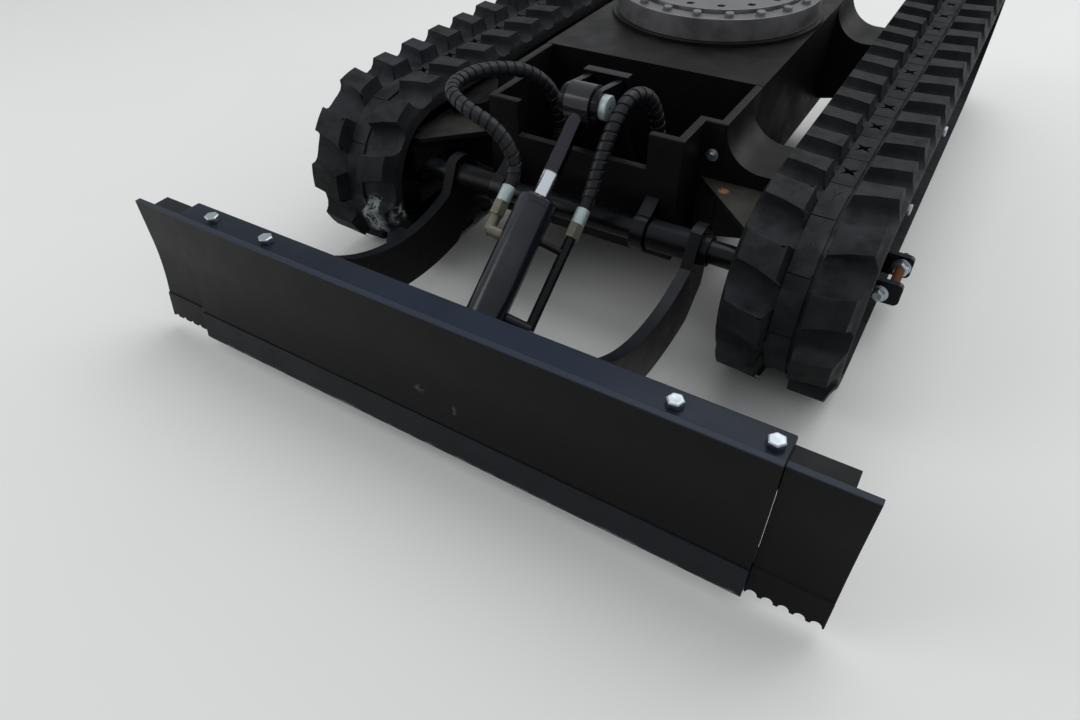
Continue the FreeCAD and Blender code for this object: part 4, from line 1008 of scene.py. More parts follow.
@dataclass
class Hose:
    """One hydraulic hose with its spiral guard and its boot at the port."""

    name: str
    route: Sequence[Point]
    length: float
    radius: float = 8.5
    guard_inner: float = 8.4
    guard_outer: float = 9.9
    guard_crown: float = 0.15
    guard_lip: float = 0.6
    guard_pitch: float = 12.5
    guard_band: float = 10.2
    guard_from: float = 8.0
    guard_to: float = 22.0
    turn_steps: int = 22
    boot_foot: float = 13.2
    boot_foot_height: float = 3.0
    boot_sink: float = 2.6
    boot_wall: float = 1.6
    boot_lap: float = 0.3
    boot_top: float = 28.0
    boot_mouth: float = 29.5
    rib_count: int = 4
    rib_pitch: float = 5.0
    rib_depth: float = 1.1
    rib_heights: tuple[float, float, float] = (1.2, 2.6, 3.6)

    def build(self, shop: Shop) -> None:
        """Args:
            shop: The finishes.
        """
        hose = self._curve(self.name + "_rubber", self.radius)
        way = self._way()
        guard, boot = self._guard(way), self._boot()
        Bench.dressed(guard, Body.CYLINDER, shop.guard, Slot.HOSE)
        Bench.dressed(boot, Body.CYLINDER, shop.hose, Slot.HOSE)
        Bench.dressed(hose, Body.CYLINDER, shop.hose, Slot.HOSE, [self.name])
        tuple(at(*self.route[0]))
        LOG.info("%s is %.3f m long", self.name, way.reach[-1])

    def _curve(self, name: str, bevel: float) -> Piece:
        """Draw the route as a smooth spline.

        Args:
            name: The curve's name.
            bevel: The radius that makes it round, or 0 for the bare line.

        Returns:
            The curve.
        """
        curve = bpy.data.curves.new(name, "CURVE")
        curve.dimensions = "3D"
        spline = curve.splines.new("NURBS")
        spline.points.add(len(self.route) - 1)
        for knot, point in zip(spline.points, self.route):
            knot.co = (*at(*point), 1.0)
        spline.order_u = 3
        spline.use_endpoint_u = True
        spline.resolution_u = 12
        curve.bevel_depth = bevel * MM
        curve.bevel_resolution = 5
        curve.use_fill_caps = bevel > 0
        return Bench.linked(name, curve)

    def _way(self) -> Way:
        """Measure the spline, as its own curve gives it without a bevel.

        Returns:
            Its middle line, with normals that don't twist round it.
        """
        plain = self._curve(self.name + "_line", 0.0)
        bpy.context.view_layer.update()
        mesh = bpy.data.meshes.new_from_object(plain.evaluated_get(bpy.context.evaluated_depsgraph_get()))
        points = np.array([vertex.co for vertex in mesh.vertices])
        bpy.data.meshes.remove(mesh)
        Bench.discard(plain)
        steps = np.linalg.norm(np.diff(points, axis=0), axis=1)
        tangents = np.gradient(points, axis=0)
        tangents /= np.linalg.norm(tangents, axis=1)[:, None]
        normals = [np.cross(tangents[0], UP)]
        normals[0] /= np.linalg.norm(normals[0])
        for tangent in tangents[1:]:
            across = normals[-1] - tangent * np.dot(normals[-1], tangent)
            normals.append(across / np.linalg.norm(across))
        return Way(np.concatenate([[0.0], np.cumsum(steps)]), points, tangents, np.array(normals))

    def _boot(self) -> Piece:
        """Make the ribbed rubber boot over the hose's end at the port.

        Returns:
            The boot.
        """
        foot, top, inside = self.boot_foot, self.radius + self.boot_wall, self.radius - self.boot_lap
        profile = [(inside, -self.boot_sink), (foot, -self.boot_sink), (foot, self.boot_foot_height)]
        for index in range(1, self.rib_count + 1):
            height = self.rib_pitch * index
            radius = foot + (top - foot) * index / self.rib_count
            rise, crest, fall = (height + step for step in self.rib_heights)
            rib = radius + self.rib_depth
            profile += [(radius, height), (rib, rise), (rib, crest), (radius, fall)]
        profile += [(top, self.boot_top), (inside, self.boot_mouth), profile[0]]
        boot = Bench.turned(profile, 28, self.name + "_boot")
        boot.data.transform(Matrix.Translation(at(*self.route[-1])))
        Bench.smooth(boot, 40)
        return boot

    def _band(self) -> Sequence[tuple[float, float]]:
        """The guard's section as (offset along the hose, radius) points, in metres.

        Returns:
            The closed section.
        """
        half, lip = self.guard_band / 2 * MM, self.guard_lip * MM
        inner, outer = self.guard_inner * MM, self.guard_outer * MM
        return (
            (-half, inner), (-half, outer - lip), (-half + lip, outer), (0, outer + self.guard_crown * MM),
            (half - lip, outer), (half, outer - lip), (half, inner),
        )

    def _guard(self, way: Way) -> Piece:
        """Wind the flat band round the hose.

        Args:
            way: The hose's middle line.

        Returns:
            The band as one closed mesh.
        """
        section, half = self._band(), self.guard_band / 2 * MM
        size, pitch = len(section), self.guard_pitch * MM
        start, end = self.guard_from * MM, way.reach[-1] - self.guard_to * MM
        count = int((end - start - 2 * half) / pitch * self.turn_steps)
        corners, faces = [], [tuple(range(size)), tuple(range(count * size + size - 1, count * size - 1, -1))]
        for index in range(count + 1):
            angle = 2 * math.pi * index / self.turn_steps
            middle = start + half + index / self.turn_steps * pitch
            for offset, radius in section:
                centre, tangent, normal = way.frame(middle + offset)
                side = np.cross(tangent, normal)
                corners.append(centre + radius * (normal * math.cos(angle) + side * math.sin(angle)))
        for index in range(count):
            for corner in range(size):
                first, second = index * size + corner, index * size + (corner + 1) % size
                faces.append((first, second, second + size, first + size))
        mesh = bpy.data.meshes.new(self.name + "_guard")
        mesh.from_pydata(corners, [], faces)
        guard = Bench.linked(self.name + "_guard", mesh)
        with Bench.editing(guard):
            bpy.ops.mesh.select_all(action="SELECT")
            bpy.ops.mesh.normals_make_consistent(inside=False)
        Bench.smooth(guard, 40)
        return guard


@dataclass
class Hoses:
    """Both hoses of the blade cylinder."""

    port_setback: float = 475.0
    port_top: float = 209.0
    port_offset: float = 80.0
    port_rise: float = 22.0

    def build(self, shop: Shop) -> None:
        """Make both hoses from their routes.

        Args:
            shop: The finishes.
        """
        left = (
            along(255, -43, 10), along(277, -43, 10), (-52, 296, 283), (-78, 296, 308), (-120, 292, 326),
            (-160, 314, 330), (-170, 352, 332), (-150, 396, 335), (-112, 440, 324), (-86, 468, 286),
        )
        right = (
            along(269, 50, -33), along(291, 50, -33), (50, 348, 260), (52, 380, 302), (56, 420, 330),
            (68, 456, 320), (78, 472, 280),
        )
        for name, route, sign, length in (("hose_left", left, -1, 0.447), ("hose_right", right, 1, 0.310)):
            port = [
                (sign * self.port_offset, self.port_setback, self.port_top + lift)
                for lift in (self.port_rise, 0)
            ]
            Hose(name, [*route, *port], length).build(shop)


class LugLevel(NamedTuple):
    """One level of a lug: its height, half its length, its insets and how much of the length its nose has."""

    height: float
    half: float
    nose_inset: float
    end_inset: float
    nose_share: float


@dataclass
class Track:
    """A rubber track: one link is modelled flat, repeated and bent round the wheels.

    On the flat link X runs along the belt, Y across it and Z out of the loop, from the belt's middle.
    """

    link_count: int = 36
    pitch: float = 72.0
    half_width: float = 80.0
    half_belt: float = 7.0
    lug_levels: Sequence[LugLevel] = (
        LugLevel(0.0, 27.0, 0.0, 0.0, 0.72), LugLevel(4.5, 21.0, 2.2, 3.2, 0.82),
        LugLevel(12.0, 17.4, 3.8, 6.5, 0.93), LugLevel(22.0, 16.0, 5.0, 9.0, 0.97),
    )
    lug_flare: tuple[float, float, float] = (1.06, 0.5, 0.38)
    lug_lead: float = 4.0
    lug_sweep: float = 12.0
    lug_waist: float = 47.0
    nose_reach: float = 0.3
    end_reach: float = 0.7
    nose_length: float = 7.0
    nose: float = 15.0
    groove: float = 3.0
    pad_height: float = 3.0
    pad_half: float = 35.2
    pad_edge: float = 14.0
    pad_round: float = 0.3
    window: float = 13.0
    star_waist: float = 4.5
    star_tip: float = 0.95
    star_curve: float = 1.5
    flap_thickness: float = 1.5
    whole_windows: Sequence[int] = (30, 31, 32, 33, 34, 35)
    whole_shares: tuple[float, float] = (0.1, 0.1)
    slit_windows: Sequence[int] = (0,)
    slit_shares: tuple[float, float] = (0.06, 0.8)
    film_lift: float = 2.4
    edge_round: float = 2.2
    crease: float = 44.0
    horn_start: float = 17.0
    horn_end: float = 29.0
    horn_height: float = 16.0
    horn_half_root: float = 14.0
    horn_half_tip: float = 10.0
    axle_distance: float = 936.0
    idler_y: float = -337.796
    axle_z: float = 143.592
    gauge: float = 680.0
    bend_steps: int = 60
    link_gap: float = 0.02
    seam_gap: float = 0.13

    @property
    def half_pitch(self) -> float:
        """Half the distance from one link to the next."""
        return self.pitch / 2

    @property
    def pitch_radius(self) -> float:
        """The radius of the belt's middle on the wheels, which ten links go round."""
        return 10 * self.pitch / (2 * math.pi)

    @property
    def lug_half_root(self) -> float:
        """Half a lug's length at the belt."""
        return self.lug_levels[0].half

    @property
    def crown(self) -> float:
        """The height of the lugs' tops, in metres."""
        return (self.half_belt + self.lug_levels[-1].height) * MM

    @property
    def window_cuts(self) -> tuple[float, ...]:
        """Where lines across the window cut a sheet."""
        return tuple(self.window * share for share in (-1, -0.6, 0, 0.6, 1))

    def build(self, shop: Shop) -> None:
        """Make both tracks.

        Args:
            shop: The finishes.
        """
        track = self._link()
        Bench.apply(
            track, "ARRAY", count=self.link_count, use_relative_offset=False, use_constant_offset=True,
            constant_offset_displace=(self.pitch * MM, 0, 0), use_merge_vertices=True,
            merge_threshold=self.link_gap * MM,
        )
        self._mend_film(track)
        loop = self._loop()
        Bench.apply(track, "CURVE", object=loop, deform_axis="POS_X")
        Bench.discard(loop)
        self._close(track)
        Bench.apply(track, "BEVEL", width=self.edge_round * MM, segments=2, limit_method="WEIGHT")
        Bench.smooth(track, self.crease)
        Bench.apply(track, "WEIGHTED_NORMAL", keep_sharp=True)
        for side, sign in (("left", 1), ("right", -1)):
            place = Matrix.Translation((sign * self.gauge / 2 * MM, 0, 0))
            piece = Bench.copied(track, place, f"rubber_track_{side}")
            Bench.dressed(piece, Body.UNDERCARRIAGE, shop.rubber, Slot.RUBBER, [f"track_{side}"])
        Bench.discard(track)

    def _sheet(self, z: float, across: Sequence[float], along_belt: Sequence[float]) -> Piece:
        """Cut a link-sized sheet.

        Args:
            z: The sheet's height in millimetres.
            across: Where lines cut it across the belt, both sides of the middle.
            along_belt: Where lines cut it along the belt.

        Returns:
            The cut sheet.
        """
        Bench.clear()
        bpy.ops.mesh.primitive_plane_add(size=1)
        sheet = bpy.context.object
        sheet.data.transform(Matrix.Diagonal((self.pitch * MM, 2 * self.half_width * MM, 1, 1)))
        sheet.data.transform(Matrix.Translation((0, 0, z * MM)))
        cuts = [((1, 0, 0), sign * value) for value in across for sign in (1, -1)]
        cuts += [((0, 1, 0), value) for value in along_belt]
        with Bench.editing(sheet):
            for normal, value in (*cuts, ((1, 0, 0), 0.0)):
                bpy.ops.mesh.select_all(action="SELECT")
                bpy.ops.mesh.bisect(plane_co=[part * value * MM for part in normal], plane_no=normal)
        return sheet

    @staticmethod
    def _raise(
        piece: Piece,
        level: float,
        footprint: Callable[[float, float], bool],
        steps: Sequence[tuple[float, Callable[[Vector], None]]],
    ) -> None:
        """Extrude the faces of a footprint in steps and shape each step's top.

        Args:
            piece: The sheet in edit mode.
            level: The height that the sheet lies at, in millimetres.
            footprint: Says whether a face with that middle, in millimetres, belongs to it.
            steps: How far each step goes up, in millimetres, and how its corners move.
        """
        def chosen(part: bmesh.types.BMFace) -> bool:
            """Whether a face lies in the footprint."""
            x, y, z = part.calc_center_median() / MM
            return abs(z - level) < NEAR and abs(part.normal.z) > FLAT and footprint(x, y)

        Bench.select(piece, Part.FACE, chosen)
        for height, shape in steps:
            bpy.ops.mesh.extrude_region_move(TRANSFORM_OT_translate={"value": (0, 0, height * MM)})
            mesh = bmesh.from_edit_mesh(piece.data)
            for corner in mesh.verts:
                if corner.select:
                    shape(corner.co)
            bmesh.update_edit_mesh(piece.data)

    def _lug_row(self, piece: Piece, sign: int, start: float, staggered: bool) -> None:
        """Raise the lugs of one row.

        Args:
            piece: The link's outer sheet, in edit mode.
            sign: The row's side of the belt's middle.
            start: How far the lugs' noses are from the middle.
            staggered: Whether the link has half a lug at each end, and not one in its middle.
        """
        def middle_of(x: float) -> float:
            """The middle of the lug that a point belongs to."""
            return math.copysign(self.half_pitch, x) if staggered else 0.0

        def footprint(x: float, y: float) -> bool:
            """Whether a point lies under a lug."""
            return y * sign > start and abs(x - middle_of(x)) < self.lug_half_root

        def shape(before: LugLevel, after: LugLevel, corner: Vector) -> None:
            """Move a corner of a lug from one level's outline to the next one's.

            Args:
                before: The level that the corner comes from.
                after: The level that it is raised to.
                corner: The corner, which is moved.
            """
            x, y = corner.x / MM, corner.y / MM * sign
            reach = (y - start) / (self.half_width - start)
            share = after.half / before.half
            if before.height == 0:
                base, fall, rise = self.lug_flare
                share *= base - fall * reach + rise * reach ** 2
            if y - start - before.nose_inset < NEAR:
                share *= after.nose_share / before.nose_share
            middle = middle_of(x)
            corner.x = (middle + (x - middle) * share) * MM
            if reach < self.nose_reach:
                y += after.nose_inset - before.nose_inset
            elif reach > self.end_reach:
                y -= after.end_inset - before.end_inset
            corner.y = sign * y * MM

        mesh = bmesh.from_edit_mesh(piece.data)
        for corner in mesh.verts:
            x, y = corner.co.x / MM, corner.co.y / MM * sign
            offset = x - middle_of(x)
            if abs(y - start) < NEAR and abs(abs(offset) - self.lug_half_root) < NEAR:
                corner.co.x = (middle_of(x) + offset * self.lug_levels[0].nose_share) * MM
        bmesh.update_edit_mesh(piece.data)
        self._raise(piece, self.half_belt, footprint, [
            (after.height - before.height, partial(shape, before, after))
            for before, after in pairwise(self.lug_levels)
        ])

    def _outer_sheet(self) -> Piece:
        """Make the link's outside, with lugs, pad and window.

        Returns:
            The sheet, open at its ends.
        """
        low_nose = self.nose + self.groove
        top = self._sheet(
            self.half_belt,
            (self.pad_half, self.lug_half_root, self.window, self.half_pitch - self.lug_half_root),
            (
                -self.lug_waist, -low_nose - self.nose_length, -low_nose, -self.nose, *self.window_cuts,
                self.pad_edge, self.nose, self.nose + self.nose_length, self.lug_waist,
            ),
        )
        with Bench.editing(top):
            Bench.select(top, Part.FACE, self._in_window)
            bpy.ops.mesh.delete(type="FACE")
            self._lug_row(top, 1, self.nose, True)
            self._lug_row(top, -1, low_nose, False)
            self._raise(
                top, self.half_belt, lambda x, y: -self.nose < y < self.pad_edge and abs(x) < self.pad_half,
                [(self.pad_height, lambda corner: None)],
            )
            self._wall_window(top)
            self._join_crowns(top)
            self._mark_edges(top)
        self._open_ends(top)
        self._sweep(top)
        return top

    def _inner_sheet(self) -> Piece:
        """Make the link's inside, with its guide horns and window.

        Returns:
            The sheet, open at its ends.
        """
        low, high = self.horn_start, self.horn_end
        base = self._sheet(
            -self.half_belt,
            (self.half_pitch - self.horn_half_root, self.window, self.half_pitch - self.lug_half_root),
            (-high, -low, *self.window_cuts, low, high),
        )
        with Bench.editing(base):
            self._horns(base)
            Bench.select(base, Part.FACE, self._in_window)
            bpy.ops.mesh.delete(type="FACE")
        self._open_ends(base)
        return base

    def _link(self) -> Piece:
        """Make one link, flat and open at its ends, ready to be repeated.

        Returns:
            The link.
        """
        link = Bench.joined([self._outer_sheet(), self._inner_sheet()], "track_link")
        side = (self.half_width - 0.5) * MM

        def on_side(sign: int, edge: bmesh.types.BMEdge) -> bool:
            """Whether an edge lies open along one side of the belt."""
            return all(corner.co.y * sign > side for corner in edge.verts) and edge.is_boundary

        with Bench.editing(link):
            Bench.select_all(link)
            bpy.ops.mesh.remove_doubles(threshold=SAME)
            for sign in (1, -1):
                Bench.select(link, Part.EDGE, partial(on_side, sign))
                bpy.ops.mesh.bridge_edge_loops()
        return link

    def _in_window(self, part: bmesh.types.BMFace) -> bool:
        """Whether a face of a sheet lies in the sprocket's window."""
        x, y, z = (abs(value) for value in part.calc_center_median() / MM)
        return max(x, y) < self.window and abs(z - self.half_belt) < NEAR

    def _in_film(self, z: float) -> bool:
        """Whether a height, in millimetres, lies between the pad's top and the film's underside."""
        return -self.flap_thickness - NEAR < z - self.half_belt < self.pad_height + NEAR

    def _wall_window(self, top: Piece) -> None:
        """Give the window its torn film, drawn in to a star, and its walls down to the belt's inside.

        Args:
            top: The link's outer sheet, in edit mode.
        """
        size = self.window * MM
        level = self.half_belt * MM

        def on_rim(edge: bmesh.types.BMEdge) -> bool:
            """Whether an edge lies open round the window."""
            places = (corner.co for corner in edge.verts)
            return edge.is_boundary and all(
                max(abs(x), abs(y)) < size + SAME and abs(z - level) < SAME for x, y, z in places
            )

        Bench.select(top, Part.EDGE, on_rim)
        film = self.flap_thickness
        for drop in (film, film, 2 * self.half_belt - 2 * film):
            bpy.ops.mesh.extrude_edges_move(TRANSFORM_OT_translate={"value": (0, 0, -drop * MM)})
        mesh = bmesh.from_edit_mesh(top.data)
        for corner in mesh.verts:
            x, y, z = corner.co / MM
            ratio = min(abs(x), abs(y)) / self.window
            if max(abs(x), abs(y)) > self.window + NEAR or not self._in_film(z) or ratio > self.star_tip:
                continue
            pull = self.star_waist + (self.window - self.star_waist) * ratio ** self.star_curve
            if abs(x) > abs(y):
                corner.co.x = math.copysign(pull, x) * MM
            else:
                corner.co.y = math.copysign(pull, y) * MM
        bmesh.update_edit_mesh(top.data)

    def _join_crowns(self, top: Piece) -> None:
        """Join each lug's top across the belt, so that its rounded edge runs clean.

        Args:
            top: The link's outer sheet, in edit mode.
        """
        def across(edge: bmesh.types.BMEdge) -> bool:
            """Whether an edge crosses a lug's flat top.

            Args:
                edge: The edge.

            Returns:
                Whether it lies level across the top, between two of its faces.
            """
            (_, y, z), (_, next_y, next_z) = (corner.co for corner in edge.verts)
            level = max(abs(z - self.crown), abs(next_z - self.crown), abs(y - next_y)) < SAME
            return level and [face.normal.z > FLAT for face in edge.link_faces] == [True, True]

        Bench.select(top, Part.EDGE, across)
        bpy.ops.mesh.dissolve_edges()

    def _mark_edges(self, top: Piece) -> None:
        """Mark the edges round the lugs' tops and along the centre pads for rounding.

        Args:
            top: The link's outer sheet, in edit mode.
        """
        mesh = bmesh.from_edit_mesh(top.data)
        weights = mesh.edges.layers.float.new("bevel_weight_edge")
        pad = (self.half_belt + self.pad_height) * MM
        outside = self.window * MM - SAME
        for edge in mesh.edges:
            if sorted(abs(face.normal.z) > FLAT for face in edge.link_faces) != [False, True]:
                continue
            places = [corner.co for corner in edge.verts]
            if all(abs(place.z - self.crown) < SAME for place in places):
                edge[weights] = 1.0
            elif all(abs(place.z - pad) < SAME and abs(place.y) > outside for place in places):
                edge[weights] = self.pad_round
        bmesh.update_edit_mesh(top.data)

    def _open_ends(self, sheet: Piece) -> None:
        """Take away the faces that raising left at the ends of the link.

        Args:
            sheet: One side of the link.
        """
        half = self.half_pitch * MM

        def at_end(part: bmesh.types.BMFace) -> bool:
            """Whether a face closes an end of the link."""
            return all(abs(abs(corner.co.x) - half) < SAME for corner in part.verts)

        with Bench.editing(sheet):
            Bench.select(sheet, Part.FACE, at_end)
            bpy.ops.mesh.delete(type="FACE")

    def _sweep(self, top: Piece) -> None:
        """Sweep both rows of lugs towards the rear, more with distance from the middle.

        Args:
            top: The link's outer sheet.
        """
        for corner in top.data.vertices:
            beyond = abs(corner.co.y) / MM - self.nose
            if beyond > -NEAR:
                share = beyond / (self.half_width - self.nose)
                corner.co.x += (self.lug_lead + self.lug_sweep * share) * MM

    def _horns(self, base: Piece) -> None:
        """Raise the guide horns on the sheet that becomes the belt's inside.

        Args:
            base: The link's inner sheet, in edit mode.
        """
        def footprint(x: float, y: float) -> bool:
            """Whether a point lies under a horn."""
            return self.horn_start < abs(y) < self.horn_end and self.half_pitch - abs(x) < self.horn_half_root

        def shape(corner: Vector) -> None:
            """Draw a corner of the horn's tip towards the horn's middle."""
            middle = math.copysign(self.half_pitch, corner.x)
            corner.x = (middle + (corner.x / MM - middle) * self.horn_half_tip / self.horn_half_root) * MM

        self._raise(base, -self.half_belt, footprint, [(-self.horn_height, shape)])

    def _mend_film(self, track: Piece) -> None:
        """Draw the film together over the windows round the idler, where it is slit or whole.

        Args:
            track: The repeated links, still flat.
        """
        shares = dict.fromkeys(self.slit_windows, self.slit_shares)
        shares |= dict.fromkeys(self.whole_windows, self.whole_shares)
        for corner in track.data.vertices:
            x, y, z = corner.co / MM
            index = round(x / self.pitch)
            middle = index * self.pitch
            outside = max(abs(x - middle), abs(y)) > self.window + NEAR
            if index not in shares or outside or not self._in_film(z):
                continue
            narrow, short = shares[index]
            lift = self.film_lift if z < self.half_belt + NEAR else 0
            corner.co = Vector((middle + (x - middle) * short, y * narrow, z + lift)) * MM

    def _loop(self) -> Piece:
        """Draw the belt's middle round both wheels, from above the idler to the rear.

        Returns:
            The closed line.
        """
        radius, steps = self.pitch_radius, self.bend_steps
        points = [(self.idler_y, self.axle_z + radius)]
        for wheel_y, turn in ((self.idler_y + self.axle_distance, radius), (self.idler_y, -radius)):
            for step in range(steps + 1):
                angle = math.pi * step / steps
                points.append((wheel_y + turn * math.sin(angle), self.axle_z + turn * math.cos(angle)))
        points.pop()
        curve = bpy.data.curves.new("belt_line", "CURVE")
        curve.dimensions = "3D"
        spline = curve.splines.new("POLY")
        spline.points.add(len(points) - 1)
        for knot, (y, z) in zip(spline.points, points):
            knot.co = (0, y * MM, z * MM, 1)
        spline.use_cyclic_u = True
        return Bench.linked("belt_line", curve)

    def _close(self, track: Piece) -> None:
        """Join the bent belt into one loop.

        Args:
            track: The belt, bent but open between its last link and its first.
        """
        with Bench.editing(track):
            Bench.select(track, Part.CORNER, lambda corner: corner.is_boundary)
            bpy.ops.mesh.remove_doubles(threshold=self.seam_gap * MM)
            Bench.select_all(track)
            bpy.ops.mesh.normals_make_consistent(inside=False)


@dataclass
class Dressing:
    """Finishes and softened edges for the model's own pieces."""

    edge_width: dict[str, float] = field(default_factory=lambda: {
        "mouldboard": 1.4, "cutting_edge": 1.2, "blade_top_box": 2.0, "wing_left": 1.3, "wing_right": 1.3,
        "blade_arm_left": 1.6, "blade_arm_right": 1.6, "cylinder_barrel": 1.2, "cylinder_rod": 0.8,
        "ferrules": 1.0, "hose_fittings": 0.7, "feed_pipe": 0.6, "nose_box": 2.0, "legs": 2.5,
    })
    default_edge: float = 1.0
    weld_gap: float = 0.01
    flat_angle: float = 1.0
    bevel_angle: float = 35.0

    @staticmethod
    def finishes(shop: Shop) -> dict[str, Material]:
        """Choose the material of each model piece that isn't plain black paint.

        Args:
            shop: The finishes.

        Returns:
            The materials by the pieces' names.
        """
        chosen = (
            (shop.face_paint, "mouldboard"),
            (shop.top_paint, "blade_top_box"),
            (shop.wing_paint, "wing_left", "wing_right"),
            (shop.edge, "cutting_edge"),
            (shop.blade_paint, "blade_arm_left", "blade_arm_right"),
            (shop.barrel_paint, "cylinder_barrel", "cylinder_gland"),
            (shop.chrome, "cylinder_rod"),
            (shop.pale_zinc, "ferrules"),
            (shop.brass, "hose_fittings"),
            (shop.zinc, "swivel_joint"),
            (shop.steel, "turntable", "slew_ring_outer", "sprocket_left", "sprocket_right"),
            (shop.frame_paint, "legs", "nose_box", "carbody", "hose_ports"),
            (
                shop.dusty_paint, "gussets", "track_frame_left", "track_frame_right", "idler_left",
                "idler_right", "rollers_left", "rollers_right",
            ),
        )
        return {name: material for material, *names in chosen for name in names}

    def build(self, shop: Shop) -> None:
        """Dress every model piece that is still shown.

        Args:
            shop: The finishes.
        """
        chosen = self.finishes(shop)
        for name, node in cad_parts.items():
            if node.hide_render:
                continue
            node.data.materials.clear()
            node.data.materials.append(chosen.get(name, shop.paint))
            self._soften(node, self.edge_width.get(name, self.default_edge))

    def _soften(self, node: Piece, width: float) -> None:
        """Weld the triangles, clear flat seams and round the edges, all with live modifiers.

        Args:
            node: The model piece.
            width: How wide its edges are rounded, in millimetres.
        """
        for kind, settings in (
            ("WELD", {"merge_threshold": self.weld_gap * MM}),
            ("DECIMATE", {"decimate_type": "DISSOLVE", "angle_limit": math.radians(self.flat_angle)}),
            ("BEVEL", {
                "width": width * MM, "segments": 2, "limit_method": "ANGLE",
                "angle_limit": math.radians(self.bevel_angle),
            }),
            ("WEIGHTED_NORMAL", {"keep_sharp": False}),
        ):
            modifier = node.modifiers.new(kind.lower(), kind)
            for key, value in settings.items():
                setattr(modifier, key, value)


@dataclass
class HexBolt:
    """A hexagon head with a chamfered top, on a washer when it has one. Drawn along Z from its seat."""

    flats: float
    height: float
    washer: float = 0.0
    washer_radius: float = 0.0
    chamfer_share: float = 0.14
    chamfer_inset: float = 0.09
    dish_inset: float = 0.14
    dish_depth: float = 0.25
    edge_share: float = 0.03
    washer_edge_share: float = 0.3

    def build(self) -> Piece:
        """Make the pattern bolt at the origin.

        Returns:
            The bolt.
        """
        pieces = [self._head()]
        if self.washer:
            ring = self._disc(36, self.washer_radius, 0.0, self.washer)
            Bench.bevel(ring, self.washer * self.washer_edge_share)
            pieces.append(ring)
        bolt = Bench.joined(pieces, "bolt_pattern")
        Bench.smooth(bolt, 30)
        return bolt

    @staticmethod
    def _disc(sides: int, radius: float, bottom: float, height: float) -> Piece:
        """Add a prism about Z.

        Args:
            sides: How many sides it has.
            radius: Its radius at the corners, in millimetres.
            bottom: The height of its underside.
            height: How high it stands.

        Returns:
            The prism.
        """
        Bench.clear()
        bpy.ops.mesh.primitive_cylinder_add(
            vertices=sides, radius=radius * MM, depth=height * MM, location=(0, 0, (bottom + height / 2) * MM)
        )
        return Bench.settle(bpy.context.object, "prism")

    def _head(self) -> Piece:
        """Make the head.

        Returns:
            The head, on its washer's height.
        """
        chamfer = self.height * self.chamfer_share
        head = self._disc(6, self.flats / math.sqrt(3), self.washer, self.height - chamfer)
        with Bench.editing(head):
            Bench.select(head, Part.FACE, lambda part: part.normal.z > FLAT)
            bpy.ops.mesh.inset(thickness=self.flats * self.chamfer_inset * MM, depth=chamfer * MM)
            bpy.ops.mesh.inset(thickness=self.flats * self.dish_inset * MM, depth=-self.dish_depth * MM)
        Bench.bevel(head, self.flats * self.edge_share, 20)
        return head


@dataclass
class Fastening:
    """One set of like bolts that shows as one piece."""

    name: str
    body: Body
    pattern: HexBolt
    seats: Sequence[tuple[Vector, Vector]]
    first_turn: float = 17.0
    next_turn: float = 41.0

    def build(self, material: Material) -> None:
        """Make a bolt at each seat, turned a little from one to the next.

        Args:
            material: The bolts' finish.
        """
        pattern = self.pattern.build()
        bolts = []
        for index, (origin, axis) in enumerate(self.seats):
            turn = Matrix.Rotation(math.radians(self.first_turn + self.next_turn * index), 4, "Z")
            bolts.append(Bench.copied(pattern, Bench.facing(origin, axis) @ turn, f"{self.name}_{index}"))
        Bench.discard(pattern)
        Bench.dressed(Bench.joined(bolts, self.name), self.body, material, Slot.ZINC)


